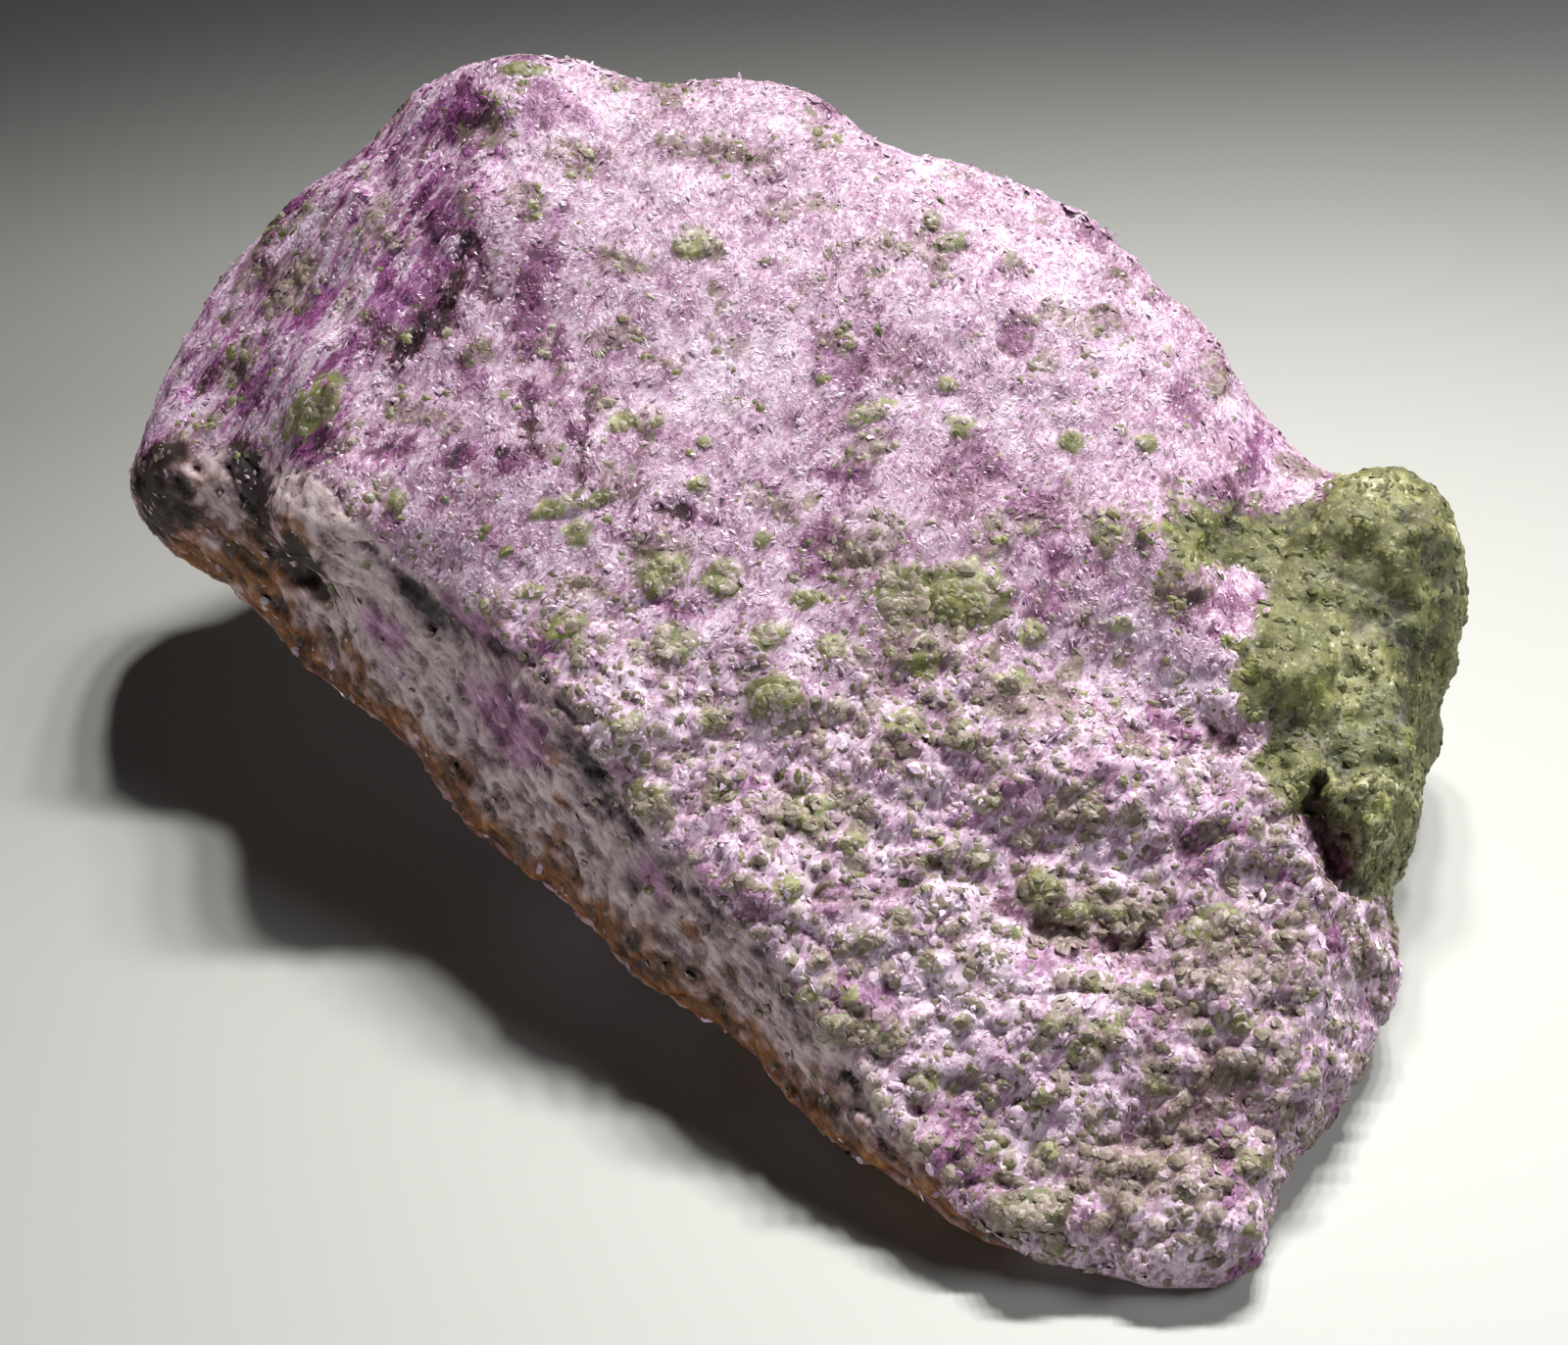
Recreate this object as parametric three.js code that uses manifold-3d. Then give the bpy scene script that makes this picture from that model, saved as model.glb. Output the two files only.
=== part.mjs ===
// Stichtite in serpentine: one rough hand specimen that rests on a flat broken underside.
//
// Millimetres, +Z up, the table at Z = 0, the origin at the middle of the stone's box on the table.
//
// The stone is read from one viewpoint, in front of it and above. A place is given either as it is
// seen from there (x to the right, y up, both on the sight plane, and its depth towards the viewer),
// or on the table's own axes.
//
// The main body is what lies behind every one of its broken faces, with worn edges. The horn of
// serpentine and the humps of the crest are joined to it, hollows are taken from it, and all of it
// ends at the seen rim. A ball's net is drawn tight over that body. Then the underside is cut flat,
// furrows and cracks are cut in, and the largest serpentine nodules are joined on.

import * as THREE from 'three';
import { mergeVertices } from 'three/addons/utils/BufferGeometryUtils.js';
import Module from 'manifold-3d';

// The viewpoint, and the worn radius of the broken edges, of joins and of the rim.
const VIEW_DISTANCE = 173;
const VIEW_ELEVATION = THREE.MathUtils.degToRad(45);
const SIGHT_HEIGHT = 20;
const EDGE_WEAR = 1.8;
const JOIN_WEAR = 3.5;
const RIM_WEAR = 2.2;
const RIM_ALLOWANCE = 0.4;
const RIM_STEPS = 4;
// The net that is drawn over the body, and the uneven swell of the rock.
const NET_DETAIL = 16;
const NET_RADIUS = 70;
const DRAWING_ROUNDS = 60;
const CHANCE_SEED = 7;
const SWELL_COUNT = 22;
const SHORTEST_SWELL = 6;
const LONGEST_SWELL = 16;
const SWELL_RISE = 0.2;
// Finding the skin, and the lenses of the nodules and gouges.
const SLOPE_REACH = 0.1;
const LEAST_SLOPE = 0.25;
const LONG_SIGHT = 40;
const SKIN_TOLERANCE = 1e-3;
const FINE_LENS = 2.7;
const LENS_UNEVENNESS = 0.22;
const NODULE_HEIGHT = 0.42;
const NODULE_SINK = 0.35;

const STICHTITE_LILAC = 0xb79bb8;

const right = new THREE.Vector3(1, 0, 0);
const up = new THREE.Vector3(0, Math.sin(VIEW_ELEVATION), Math.cos(VIEW_ELEVATION));
const near = new THREE.Vector3(0, -Math.cos(VIEW_ELEVATION), Math.sin(VIEW_ELEVATION));
const sightCentre = new THREE.Vector3(0, 0, SIGHT_HEIGHT);

// A place as it is seen: the nearer it is, the smaller it really is for the room that it takes.
function seen(x, y, depth) {
  const size = (VIEW_DISTANCE - depth) / VIEW_DISTANCE;
  return sightCentre.clone()
    .addScaledVector(right, x * size)
    .addScaledVector(up, y * size)
    .addScaledVector(near, depth);
}

function table(x, y, z) {
  return new THREE.Vector3(x, y, z);
}

const HEART = table(0, 5, 17);
const HORN_HEART = seen(36, 2, -8);

// The rim as it is seen, clockwise from the left tip.
const RIM = [
  // left tip and the steep purple flank
  [-44.0, 12.1], [-43.2, 14.3], [-42.1, 16.8], [-41.2, 20.0], [-39.4, 22.7], [-37.6, 26.2],
  [-34.6, 29.6], [-32.4, 32.0], [-30.0, 33.2], [-27.8, 34.8], [-26.2, 36.9], [-23.6, 39.4],
  // first hump, saddle, second hump and the step down behind the valley
  [-20.0, 40.9], [-16.0, 41.5], [-12.6, 40.9], [-10.3, 39.4], [-8.6, 39.1], [-3.6, 39.7],
  [0.4, 39.3], [3.0, 38.0], [4.8, 36.1], [8.7, 34.2],
  // crest, shoulder and the small bay above the horn
  [15.5, 33.6], [19.8, 31.9], [24.0, 28.0], [28.6, 22.3], [30.6, 18.9], [34.4, 14.4], [36.2, 12.4],
  // serpentine horn
  [39.4, 13.4], [43.3, 13.0], [45.4, 10.0], [46.1, 7.6], [45.2, 2.8], [45.5, 1.7], [44.1, -0.6],
  // right side
  [43.2, -4.5], [42.0, -9.5], [41.5, -16.5], [41.8, -19.3], [40.1, -23.6], [38.4, -27.0],
  [34.6, -31.4], [32.3, -35.8], [32.8, -37.6], [31.2, -40.4],
  // front tip and the long lower left edge
  [27.5, -41.7], [20.0, -40.6], [14.0, -38.5], [8.7, -35.0], [4.6, -33.0], [-2.9, -26.2],
  [-11.0, -19.0], [-20.0, -11.5], [-25.2, -4.9], [-30.4, -1.0], [-37.0, 4.5], [-40.6, 7.6],
];

// Broken faces of the main body, each through three points.
const BODY_FACES = {
  broadLower: [seen(-10, -9, 6.3), seen(12, -36, 12.8), seen(34, -20, 8.2)],
  broadUpper: [seen(10, 10, 1.8), seen(30, 18, -2.4), seen(4, 33, -5.6)],
  broadLeft: [seen(-9.8, -9.4, 5.4), seen(-31, 14, -1.5), seen(-19.5, 37, -8.5)],
  crestTop: [seen(4, 33.5, -7.5), seen(19, 32, -8.5), seen(13, 28, -4.6)],
  crestRight: [seen(24, 27, -7.5), seen(31, 18.5, -7.5), seen(24, 21, -3.6)],
  aboveHorn: [seen(31, 19, -7.5), seen(35.5, 12.5, -6.0), seen(30, 11, -1.6)],
  flank: [seen(-31, 14, -1.5), seen(-20, 36, -8), seen(-37.6, 26.2, -18.0)],
  leftTip: [seen(-44, 12.1, -17.5), seen(-38.2, 18, -12.0), seen(-38.2, 6, -12.0)],
  weathered: [seen(-15.7, -0.6, 3.2), seen(12.3, -36.2, 12.8), seen(-22.6, -8.6, -6.6)],
  frontEdge: [seen(13, -36, 12.5), seen(29, -38, 13), seen(24, -41.9, 10.8)],
  rightSide: [seen(36.5, -22, 6.5), seen(34.5, -30, 9), seen(42.2, -19.3, -1)],
  rightUpper: [seen(37, -6, 3.2), seen(38.5, -16, 4.5), seen(43.6, -9, -5)],
  rightUnder: [seen(42, -16.5, -5), seen(36, -32, 2), table(35, -8, 0)],
  underLeft: [table(-22, 22, 0), table(9, -25, 0), table(-20.8, -3.8, 4.6)],
  underTip: [seen(-44, 12, -20.5), seen(-37, 4.5, -17.5), table(-24, 24, 2)],
  underBackLeft: [seen(-44, 12, -22), seen(-41.2, 20, -25), table(-20, 32, 0)],
  backLeft: [seen(-41.2, 20, -24), seen(-30, 33.2, -23), table(-26, 43, 10)],
  backUpper: [table(-16, 40.5, 44), table(4, 39.5, 40.5), table(-5, 48, 22)],
  backLower: [table(-15, 47.5, 20), table(8, 46, 16), table(0, 39, 0)],
  backRight: [seen(17, 33.2, -12), seen(28.6, 22.3, -12), table(32, 34, 6)],
  underBackRight: [table(38, 22, 8), table(22, 39, 9), table(27, 30, 0)],
};

// Broken faces of the horn of serpentine.
const HORN_FACES = {
  front: [seen(33, 8, -0.6), seen(43, 10, -3.2), seen(40.5, -3, 1.0)],
  tip: [seen(44.5, 11, -5.5), seen(42.6, -4, -3.5), seen(46.5, 7.6, -12)],
  back: [seen(37, 13, -9), seen(45, 11.5, -11), table(46, 24, 2)],
  under: [seen(46, 6, -13.5), seen(42, -9.5, -8), table(26, 8, 0)],
  low: [seen(30, -8, 4), seen(42, -12, 0), seen(36, -14, -10)],
  root: [table(18, -20, 0), table(18, 20, 0), seen(33, 2, 1)],
};

// Rounded humps of the crest and other swellings: middle, half sizes along the sight axes.
const HUMPS = {
  first: { middle: seen(-16.5, 32, -19.5), half: [10.5, 9.6, 10.4] },
  second: { middle: seen(-1.0, 32, -22), half: [9.5, 8.2, 8.6] },
  leftTip: { middle: seen(-39.0, 12.8, -19.5), half: [7, 7, 7] },
  ridgeEnd: { middle: seen(-28.5, 9.6, -8.6), half: [6, 5, 7.4] },
  hornTop: { middle: seen(41.5, 9.5, -6.5), half: [3.6, 3.2, 4.6] },
};

// Hollows in the faces: middle, half sizes along the sight axes.
const HOLLOWS = {
  flankHollow: { middle: seen(-25.5, 27, -1.5), half: [4.5, 8, 4.0] },
  bay: { middle: seen(33.8, 15.4, -2.0), half: [2.6, 4.0, 4.0] },
  valleyLeft: { middle: seen(-7.5, 33.2, -4.6), half: [4.0, 2.0, 3.0] },
  valleyMiddle: { middle: seen(-0.5, 35.0, -5.6), half: [6, 2.4, 3.0] },
  valleyRight: { middle: seen(8.0, 34.8, -7.0), half: [5, 1.6, 2.8] },
  belowHorn: { middle: seen(31, -6, 7.0), half: [4.5, 2.2, 2.6] },
  lowerShelf: { middle: seen(21, -17.5, 10.6), half: [8, 2.0, 3.0] },
  middleShelf: { middle: seen(-1, -2.5, 6.2), half: [7, 2.2, 1.9] },
};

// The largest serpentine nodules that stand out of the stone: seen place, length, width and turn.
const NODULES = [
  [-31.6, 17.6, 6.0, 2.8, 45], [-6.2, 28.6, 2.6, 2.0, 10], [11.2, 28.8, 2.4, 1.5, 0],
  [5.6, 17.3, 3.4, 1.6, 25], [-10.8, 16.8, 2.6, 1.5, 30], [11.8, 16.4, 2.2, 1.7, -20],
  [19.3, 15.5, 2.0, 1.8, 0], [24.4, 15.4, 1.9, 1.7, 0], [-13.8, 9.2, 2.6, 2.0, 30],
  [-8.2, 6.6, 3.2, 2.6, 20], [-4.0, 6.3, 3.0, 2.4, -10], [-7.5, 2.0, 3.0, 2.5, 0],
  [8.0, 5.0, 4.0, 4.6, 0], [12.2, 5.4, 5.2, 4.2, -15], [-1.0, 2.4, 2.8, 2.3, 15],
  [-0.7, -1.6, 3.7, 3.0, 0], [-14.5, 2.8, 3.0, 2.6, -40], [-10.8, -3.5, 2.8, 2.2, 0],
  [-9.2, -8.5, 2.8, 2.4, -30], [8.2, -3.5, 2.8, 2.2, -20], [11.8, -4.5, 2.6, 2.2, 10],
  [16.6, 2.6, 2.4, 1.9, 0], [1.6, -9.4, 3.3, 2.6, 10], [17.2, -14.7, 3.6, 2.8, -30],
  [23.0, -16.7, 3.0, 2.4, -10], [28.5, -16.6, 3.8, 3.0, 20], [20.3, -25.2, 2.4, 2.4, 0],
  [3.3, -23.9, 3.0, 2.6, 0], [9.2, -27.6, 2.9, 2.3, 20], [16.4, -36.0, 5.4, 3.0, 15],
  [17.4, -28.4, 2.2, 2.0, 0], [21.0, -20.8, 2.6, 2.0, -10], [31.5, -32.8, 3.0, 2.2, 15],
  [34.6, 5.6, 3.6, 3.0, 0], [38.7, -9.0, 4.0, 5.4, 10], [-15.0, 11.2, 4.2, 1.6, 20],
  [-17.2, 5.4, 2.2, 1.6, 0], [3.2, 1.8, 2.1, 1.8, 0], [9.2, 0.4, 2.4, 2.0, -15],
  [-4.9, -3.2, 2.4, 2.0, 0], [15.4, -0.4, 2.2, 1.8, 20], [4.6, -11.4, 2.2, 1.9, 0],
  [6.8, -23.4, 2.4, 2.0, 0], [35.3, -27.2, 2.0, 1.7, 0], [26.8, -34.6, 2.0, 1.7, 0],
  [5.8, -17.9, 2.2, 1.9, 0], [24.4, 9.7, 2.0, 1.7, 0],
];

// Gouges, furrows and cracks: seen start, seen end, width and depth.
const GOUGES = [
  // socket round the lump under the horn
  [41.6, -5.7, 36.0, -6.3, 1.2, 1.8], [36.6, -5.9, 35.2, -10.6, 1.9, 3.4],
  [35.3, -9.2, 38.4, -14.2, 2.2, 3.6], [36.9, -13.4, 41.0, -14.6, 1.8, 2.8],
  // long crack beside the ridge
  [-10.4, -10.4, -5.8, -16.4, 1.2, 0.9], [-6.0, -16.0, -0.6, -22.8, 1.2, 0.9],
  [-0.8, -22.4, 4.2, -28.8, 1.2, 0.9], [4.0, -28.4, 10.6, -35.2, 1.3, 0.9],
  // pits of the weathered side and the flank
  [-34.4, 8.2, -30.2, 4.8, 2.4, 1.5], [-35.6, 15.6, -35.0, 9.6, 2.6, 0.9],
  [-27.2, 34.0, -26.4, 30.6, 2.6, 0.9], [-40.0, 20.2, -38.8, 18.4, 1.8, 1.0],
  // ledges and furrows of the broad face
  [8.6, -13.8, 17.2, -13.2, 2.5, 1.0], [14.6, -14.9, 19.6, -18.2, 2.4, 1.2],
  [19.6, -17.9, 26.4, -18.3, 2.3, 1.1], [21.2, -31.8, 28.0, -31.1, 2.4, 0.9],
  [14.6, -27.3, 18.0, -29.8, 2.5, 1.0], [21.6, -2.8, 25.4, -5.3, 2.0, 0.9],
  [27.2, -2.8, 30.0, -4.9, 1.9, 0.9], [30.0, -5.1, 35.0, -6.5, 2.2, 1.0],
  [24.2, 12.3, 30.2, 11.4, 2.0, 0.9], [4.6, -24.8, 8.4, -26.4, 2.5, 0.9],
  [40.8, 11.0, 45.0, 7.8, 2.0, 0.8], [-18.0, 17.4, -16.6, 14.4, 1.8, 0.7],
];

function outwardPlane([a, b, c], inside) {
  const plane = new THREE.Plane().setFromCoplanarPoints(a, b, c);
  return plane.distanceToPoint(inside) > 0 ? plane.negate() : plane;
}

const chance = THREE.MathUtils.seededRandom;
chance(CHANCE_SEED);

// The uneven swell of the broken rock: waves of different lengths and bearings.
const swells = Array.from({ length: SWELL_COUNT }, () => {
  const length = THREE.MathUtils.lerp(SHORTEST_SWELL, LONGEST_SWELL, chance());
  return {
    bearing: new THREE.Vector3(chance() - 0.5, chance() - 0.5, chance() - 0.5).normalize(),
    length,
    rise: SWELL_RISE * Math.sqrt(length / LONGEST_SWELL),
    start: chance() * 2 * Math.PI,
  };
});

const bodyPlanes = Object.values(BODY_FACES).map((points) => outwardPlane(points, HEART));
const hornPlanes = Object.values(HORN_FACES).map((points) => outwardPlane(points, HORN_HEART));

const rimCurve = new THREE.CatmullRomCurve3(RIM.map(([x, y]) => new THREE.Vector3(x, y, 0)), true);
const rimPoints = rimCurve.getPoints(RIM.length * RIM_STEPS).slice(0, -1);

// Where a point is seen on the sight plane, and how much larger it looks there than it is.
function view(point) {
  const offset = point.clone().sub(sightCentre);
  const enlarged = VIEW_DISTANCE / (VIEW_DISTANCE - offset.dot(near));
  return { x: offset.dot(right) * enlarged, y: offset.dot(up) * enlarged, enlarged };
}

// Distance outside the rim, negative within it.
function outsideRim(x, y) {
  let nearest = Infinity;
  let inside = false;
  for (let i = 0, j = rimPoints.length - 1; i < rimPoints.length; j = i++) {
    const a = rimPoints[j];
    const b = rimPoints[i];
    const along = THREE.MathUtils.clamp(
      ((x - a.x) * (b.x - a.x) + (y - a.y) * (b.y - a.y)) / ((b.x - a.x) ** 2 + (b.y - a.y) ** 2), 0, 1);
    nearest = Math.min(nearest, Math.hypot(x - a.x - along * (b.x - a.x), y - a.y - along * (b.y - a.y)));
    if ((a.y > y) !== (b.y > y) && x < a.x + (y - a.y) / (b.y - a.y) * (b.x - a.x)) inside = !inside;
  }
  return inside ? -nearest : nearest;
}

// The larger of two distances, with the edge between them worn round.
function wornMax(a, b, wear) {
  const overlap = Math.max(wear - Math.abs(a - b), 0) / wear;
  return Math.max(a, b) + overlap * overlap * wear / 4;
}

function wornMin(a, b, wear) {
  return -wornMax(-a, -b, wear);
}

function behind(planes, point) {
  return planes.map((plane) => plane.distanceToPoint(point)).reduce((a, b) => wornMax(a, b, EDGE_WEAR));
}

function swell(point) {
  return swells.reduce((height, { bearing, length, rise, start }) => (
    height + rise * Math.sin(start + 2 * Math.PI * point.dot(bearing) / length)), 0);
}

function outsideEllipsoid({ middle, half }, point) {
  const offset = point.clone().sub(middle);
  const [a, b, c] = half;
  const scaled = new THREE.Vector3(offset.dot(right) / a, offset.dot(up) / b, offset.dot(near) / c);
  const steep = new THREE.Vector3(scaled.x / a, scaled.y / b, scaled.z / c).length();
  return scaled.length() * (scaled.length() - 1) / Math.max(steep, Number.EPSILON);
}

function outsideStone(point) {
  const { x, y, enlarged } = view(point);
  let distance = wornMin(behind(bodyPlanes, point), behind(hornPlanes, point), JOIN_WEAR);
  for (const hump of Object.values(HUMPS)) {
    distance = wornMin(distance, outsideEllipsoid(hump, point), JOIN_WEAR);
  }
  for (const hollow of Object.values(HOLLOWS)) {
    distance = wornMax(distance, -outsideEllipsoid(hollow, point), JOIN_WEAR);
  }
  distance -= swell(point);
  return wornMax(distance, outsideRim(x, y) / enlarged - RIM_ALLOWANCE, RIM_WEAR);
}

// How the distance outside the stone grows along each axis.
function slopeAt(point) {
  const here = outsideStone(point);
  return new THREE.Vector3(...[0, 1, 2].map((axis) => {
    const beside = point.clone();
    beside.setComponent(axis, beside.getComponent(axis) + SLOPE_REACH);
    return (outsideStone(beside) - here) / SLOPE_REACH;
  }));
}

// One step straight towards the body's skin.
function stepToSkin(point) {
  const slope = slopeAt(point);
  return point.addScaledVector(slope, -outsideStone(point) / Math.max(slope.lengthSq(), LEAST_SLOPE));
}

// The same shape with one shared vertex at each corner, as a solid needs.
function welded(geometry) {
  geometry.deleteAttribute('normal');
  geometry.deleteAttribute('uv');
  return mergeVertices(geometry);
}

function neighboursOf(geometry) {
  const index = geometry.getIndex().array;
  const neighbours = Array.from({ length: geometry.getAttribute('position').count }, () => new Set());
  for (let i = 0; i < index.length; i += 3) {
    const corners = [index[i], index[i + 1], index[i + 2]];
    corners.forEach((corner, k) => neighbours[corner].add(corners[(k + 1) % 3]));
  }
  return neighbours.map((set) => [...set]);
}

// A ball's net, drawn over the body: each knot moves to the middle of its neighbours, then to the skin.
function drawnNet() {
  const ball = new THREE.IcosahedronGeometry(NET_RADIUS, NET_DETAIL);
  const net = welded(ball.translate(HEART.x, HEART.y, HEART.z));
  const place = net.getAttribute('position');
  const neighbours = neighboursOf(net);
  let knots = neighbours.map((_, i) => new THREE.Vector3().fromBufferAttribute(place, i));
  for (let round = 0; round < DRAWING_ROUNDS; round++) {
    knots = knots.map((knot, i) => {
      const middle = new THREE.Vector3();
      neighbours[i].forEach((j) => middle.add(knots[j]));
      return stepToSkin(middle.divideScalar(neighbours[i].length));
    });
  }
  knots.forEach((knot, i) => {
    stepToSkin(stepToSkin(knot));
    place.setXYZ(i, knot.x, knot.y, knot.z);
  });
  return net;
}

const wasm = await Module();
wasm.setup();

function toSolid(geometry) {
  return new wasm.Manifold(new wasm.Mesh({
    numProp: 3,
    vertProperties: new Float32Array(geometry.getAttribute('position').array),
    triVerts: new Uint32Array(geometry.getIndex().array),
  }));
}

function toGeometry(solid) {
  const mesh = solid.getMesh();
  const geometry = new THREE.BufferGeometry();
  geometry.setAttribute('position', new THREE.BufferAttribute(mesh.vertProperties, 3));
  geometry.setIndex(new THREE.BufferAttribute(mesh.triVerts, 1));
  geometry.computeVertexNormals();
  return geometry;
}

// What lies below the table, which is cut off to leave the flat broken underside.
function belowTable() {
  const size = 2 * NET_RADIUS;
  return welded(new THREE.BoxGeometry(size, size, size).translate(0, 0, -size / 2));
}

// Where the line of sight through a seen place meets the body.
function onSkin(x, y) {
  let outer = LONG_SIGHT;
  let inner = -LONG_SIGHT;
  for (let depth = LONG_SIGHT; depth > -LONG_SIGHT; depth -= 1) {
    if (outsideStone(seen(x, y, depth)) < 0) {
      inner = depth;
      break;
    }
    outer = depth;
  }
  while (outer - inner > SKIN_TOLERANCE) {
    const depth = (outer + inner) / 2;
    if (outsideStone(seen(x, y, depth)) < 0) inner = depth;
    else outer = depth;
  }
  return seen(x, y, inner);
}

// An uneven lens that lies along the skin between two places, for a nodule or a gouge.
function lens(from, to, width, depth, sink) {
  const middle = from.clone().add(to).divideScalar(2);
  const along = to.clone().sub(from);
  const long = along.length();
  along.normalize();
  const outward = slopeAt(middle);
  const across = new THREE.Vector3().crossVectors(outward, along).normalize();
  outward.crossVectors(along, across);
  const ball = width > FINE_LENS ? new THREE.IcosahedronGeometry(1, 1) : new THREE.OctahedronGeometry(1, 1);
  const net = welded(ball);
  const place = net.getAttribute('position');
  for (let i = 0; i < place.count; i++) {
    const uneven = 1 + LENS_UNEVENNESS * (chance() - 0.5);
    place.setXYZ(i, place.getX(i) * uneven, place.getY(i) * uneven, place.getZ(i) * uneven);
  }
  net.scale(long / 2, width / 2, depth);
  net.applyMatrix4(new THREE.Matrix4().makeBasis(along, across, outward));
  middle.addScaledVector(outward, sink);
  return net.translate(middle.x, middle.y, middle.z);
}

function nodule([x, y, length, width, turn]) {
  const angle = THREE.MathUtils.degToRad(turn);
  const dx = Math.cos(angle) * length / 2;
  const dy = Math.sin(angle) * length / 2;
  const height = width * NODULE_HEIGHT;
  return lens(onSkin(x - dx, y - dy), onSkin(x + dx, y + dy), width, height, -height * NODULE_SINK);
}

function gouge([x1, y1, x2, y2, width, depth]) {
  return lens(onSkin(x1, y1), onSkin(x2, y2), width, depth, 0);
}

let solid = toSolid(drawnNet()).subtract(toSolid(belowTable()));
for (const row of GOUGES) solid = solid.subtract(toSolid(gouge(row)));
for (const row of NODULES) solid = solid.add(toSolid(nodule(row)));
const stoneGeometry = toGeometry(solid);

stoneGeometry.computeBoundingBox();
const middle = stoneGeometry.boundingBox.getCenter(new THREE.Vector3()).setZ(0);
stoneGeometry.translate(-middle.x, -middle.y, 0);

const stone = new THREE.Mesh(stoneGeometry, new THREE.MeshStandardMaterial({
  color: STICHTITE_LILAC,
  roughness: 0.6,
  metalness: 0,
}));
stone.name = 'stichtite_stone';

const group = new THREE.Group();
group.add(stone);
// The heart of the sight plane in the finished frame, for a camera at the same viewpoint.
group.userData.sightCentre = sightCentre.clone().sub(middle).toArray();

export default group;
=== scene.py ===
# %% [markdown]
# # A stichtite in serpentine hand specimen
#
# One lump of rock: matted lilac stichtite, with a horn and many nodules of olive serpentine, and an
# old weathered side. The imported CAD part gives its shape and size. This lesson adds what a hand lens
# shows: ledges, pits, streaks and grain in the skin, loose fibres and flakes on it, and green grains
# that stand out of it. Then come the finishes, the floor, the lights and the camera.
#
# Lengths are in millimetres while the shapes are made, and become metres as each mesh is written.

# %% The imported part
import math
import bmesh
import bpy
import numpy as np
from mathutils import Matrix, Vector, bvhtree, noise


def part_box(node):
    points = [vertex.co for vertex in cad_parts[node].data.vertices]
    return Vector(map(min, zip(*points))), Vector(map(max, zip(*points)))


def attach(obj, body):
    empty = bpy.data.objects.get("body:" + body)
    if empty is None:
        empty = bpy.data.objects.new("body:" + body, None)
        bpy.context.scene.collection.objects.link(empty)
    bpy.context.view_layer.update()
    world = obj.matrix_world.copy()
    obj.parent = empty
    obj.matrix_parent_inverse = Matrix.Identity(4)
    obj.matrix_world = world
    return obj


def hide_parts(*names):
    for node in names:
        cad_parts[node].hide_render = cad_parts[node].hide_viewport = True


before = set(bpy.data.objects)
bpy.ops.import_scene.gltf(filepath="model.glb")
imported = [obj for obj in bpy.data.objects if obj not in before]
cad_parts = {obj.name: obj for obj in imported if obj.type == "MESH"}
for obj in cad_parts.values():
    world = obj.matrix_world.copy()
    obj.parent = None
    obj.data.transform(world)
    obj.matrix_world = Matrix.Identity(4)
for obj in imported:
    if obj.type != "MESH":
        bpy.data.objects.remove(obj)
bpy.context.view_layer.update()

stone_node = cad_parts["stichtite_stone"]
MM = 0.001
box_low, box_high = (np.array(corner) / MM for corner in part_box("stichtite_stone"))
print("the stone's box in mm:", box_low.round(1), box_high.round(1))

# %% [markdown]
# ## Where things are seen
#
# The broad face, the ridge and the green horn are known from one viewpoint, in front of the stone
# and 45 degrees above it. So a place on the stone is turned into the place where it is seen from
# there: x to the right and y up, in millimetres on a sight plane through the stone. A patch that is
# named by its seen place then lies on the rock itself, and stays there from every side.

# %% The sight plane
SIGHT_CENTRE = np.array([-0.16, -7.43, 20.0])
VIEW_DISTANCE = 173.0
VIEW_ELEVATION = math.radians(45)
RIGHT = np.array([1.0, 0.0, 0.0])
UP = np.array([0.0, math.sin(VIEW_ELEVATION), math.cos(VIEW_ELEVATION)])
NEAR = np.array([0.0, -math.cos(VIEW_ELEVATION), math.sin(VIEW_ELEVATION)])
CAMERA_PLACE = SIGHT_CENTRE + VIEW_DISTANCE * NEAR


def as_seen(places):
    """Where places are seen on the sight plane, one row (x, y) each."""
    offset = places - SIGHT_CENTRE
    enlarged = VIEW_DISTANCE / (VIEW_DISTANCE - offset @ NEAR)
    return np.stack([offset @ RIGHT * enlarged, offset @ UP * enlarged], axis=1)


def facing_camera(places, normals):
    """1 where the skin faces the camera, 0 where it lies edge on, less where it faces away."""
    sight = CAMERA_PLACE - places
    return (normals * sight).sum(axis=1) / np.linalg.norm(sight, axis=1)


# %% Noise, fades and patches
FAR_OUTSIDE = -9.0
SCRAMBLING_WAY, SCRAMBLING_SCALE = (12.9, 78.2, 37.7), 43.7


def waver(places, size, start=0.0):
    """Smooth values, mostly from -0.5 to 0.5, in lumps of one size. Each start gives others."""
    return np.array([noise.noise(place) for place in (places / size + start).tolist()])


def stretched(places, turn, length, width):
    """Places measured in lengths along a bearing of the sight plane, and in widths across it."""
    c, s = math.cos(math.radians(turn)), math.sin(math.radians(turn))
    along, across = c * RIGHT + s * UP, c * UP - s * RIGHT
    return np.stack([places @ along / length, places @ across / width, places @ NEAR / width], axis=1)


def fade(value, low, high):
    """0 up to low, 1 from high on, and a soft step between them."""
    share = np.clip((value - low) / (high - low), 0, 1)
    return share * share * (3 - 2 * share)


def near_spots(seen, spots):
    """1 in the middle of a spot (x, y, half length, half width, turn), 0 at its edge, less outside."""
    found = np.full(len(seen), FAR_OUTSIDE)
    for x, y, length, width, turn in spots:
        c, s = math.cos(math.radians(turn)), math.sin(math.radians(turn))
        right, up = seen[:, 0] - x, seen[:, 1] - y
        along, across = (right * c + up * s) / length, (up * c - right * s) / width
        found = np.maximum(found, 1 - np.hypot(along, across))
    return found


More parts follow.
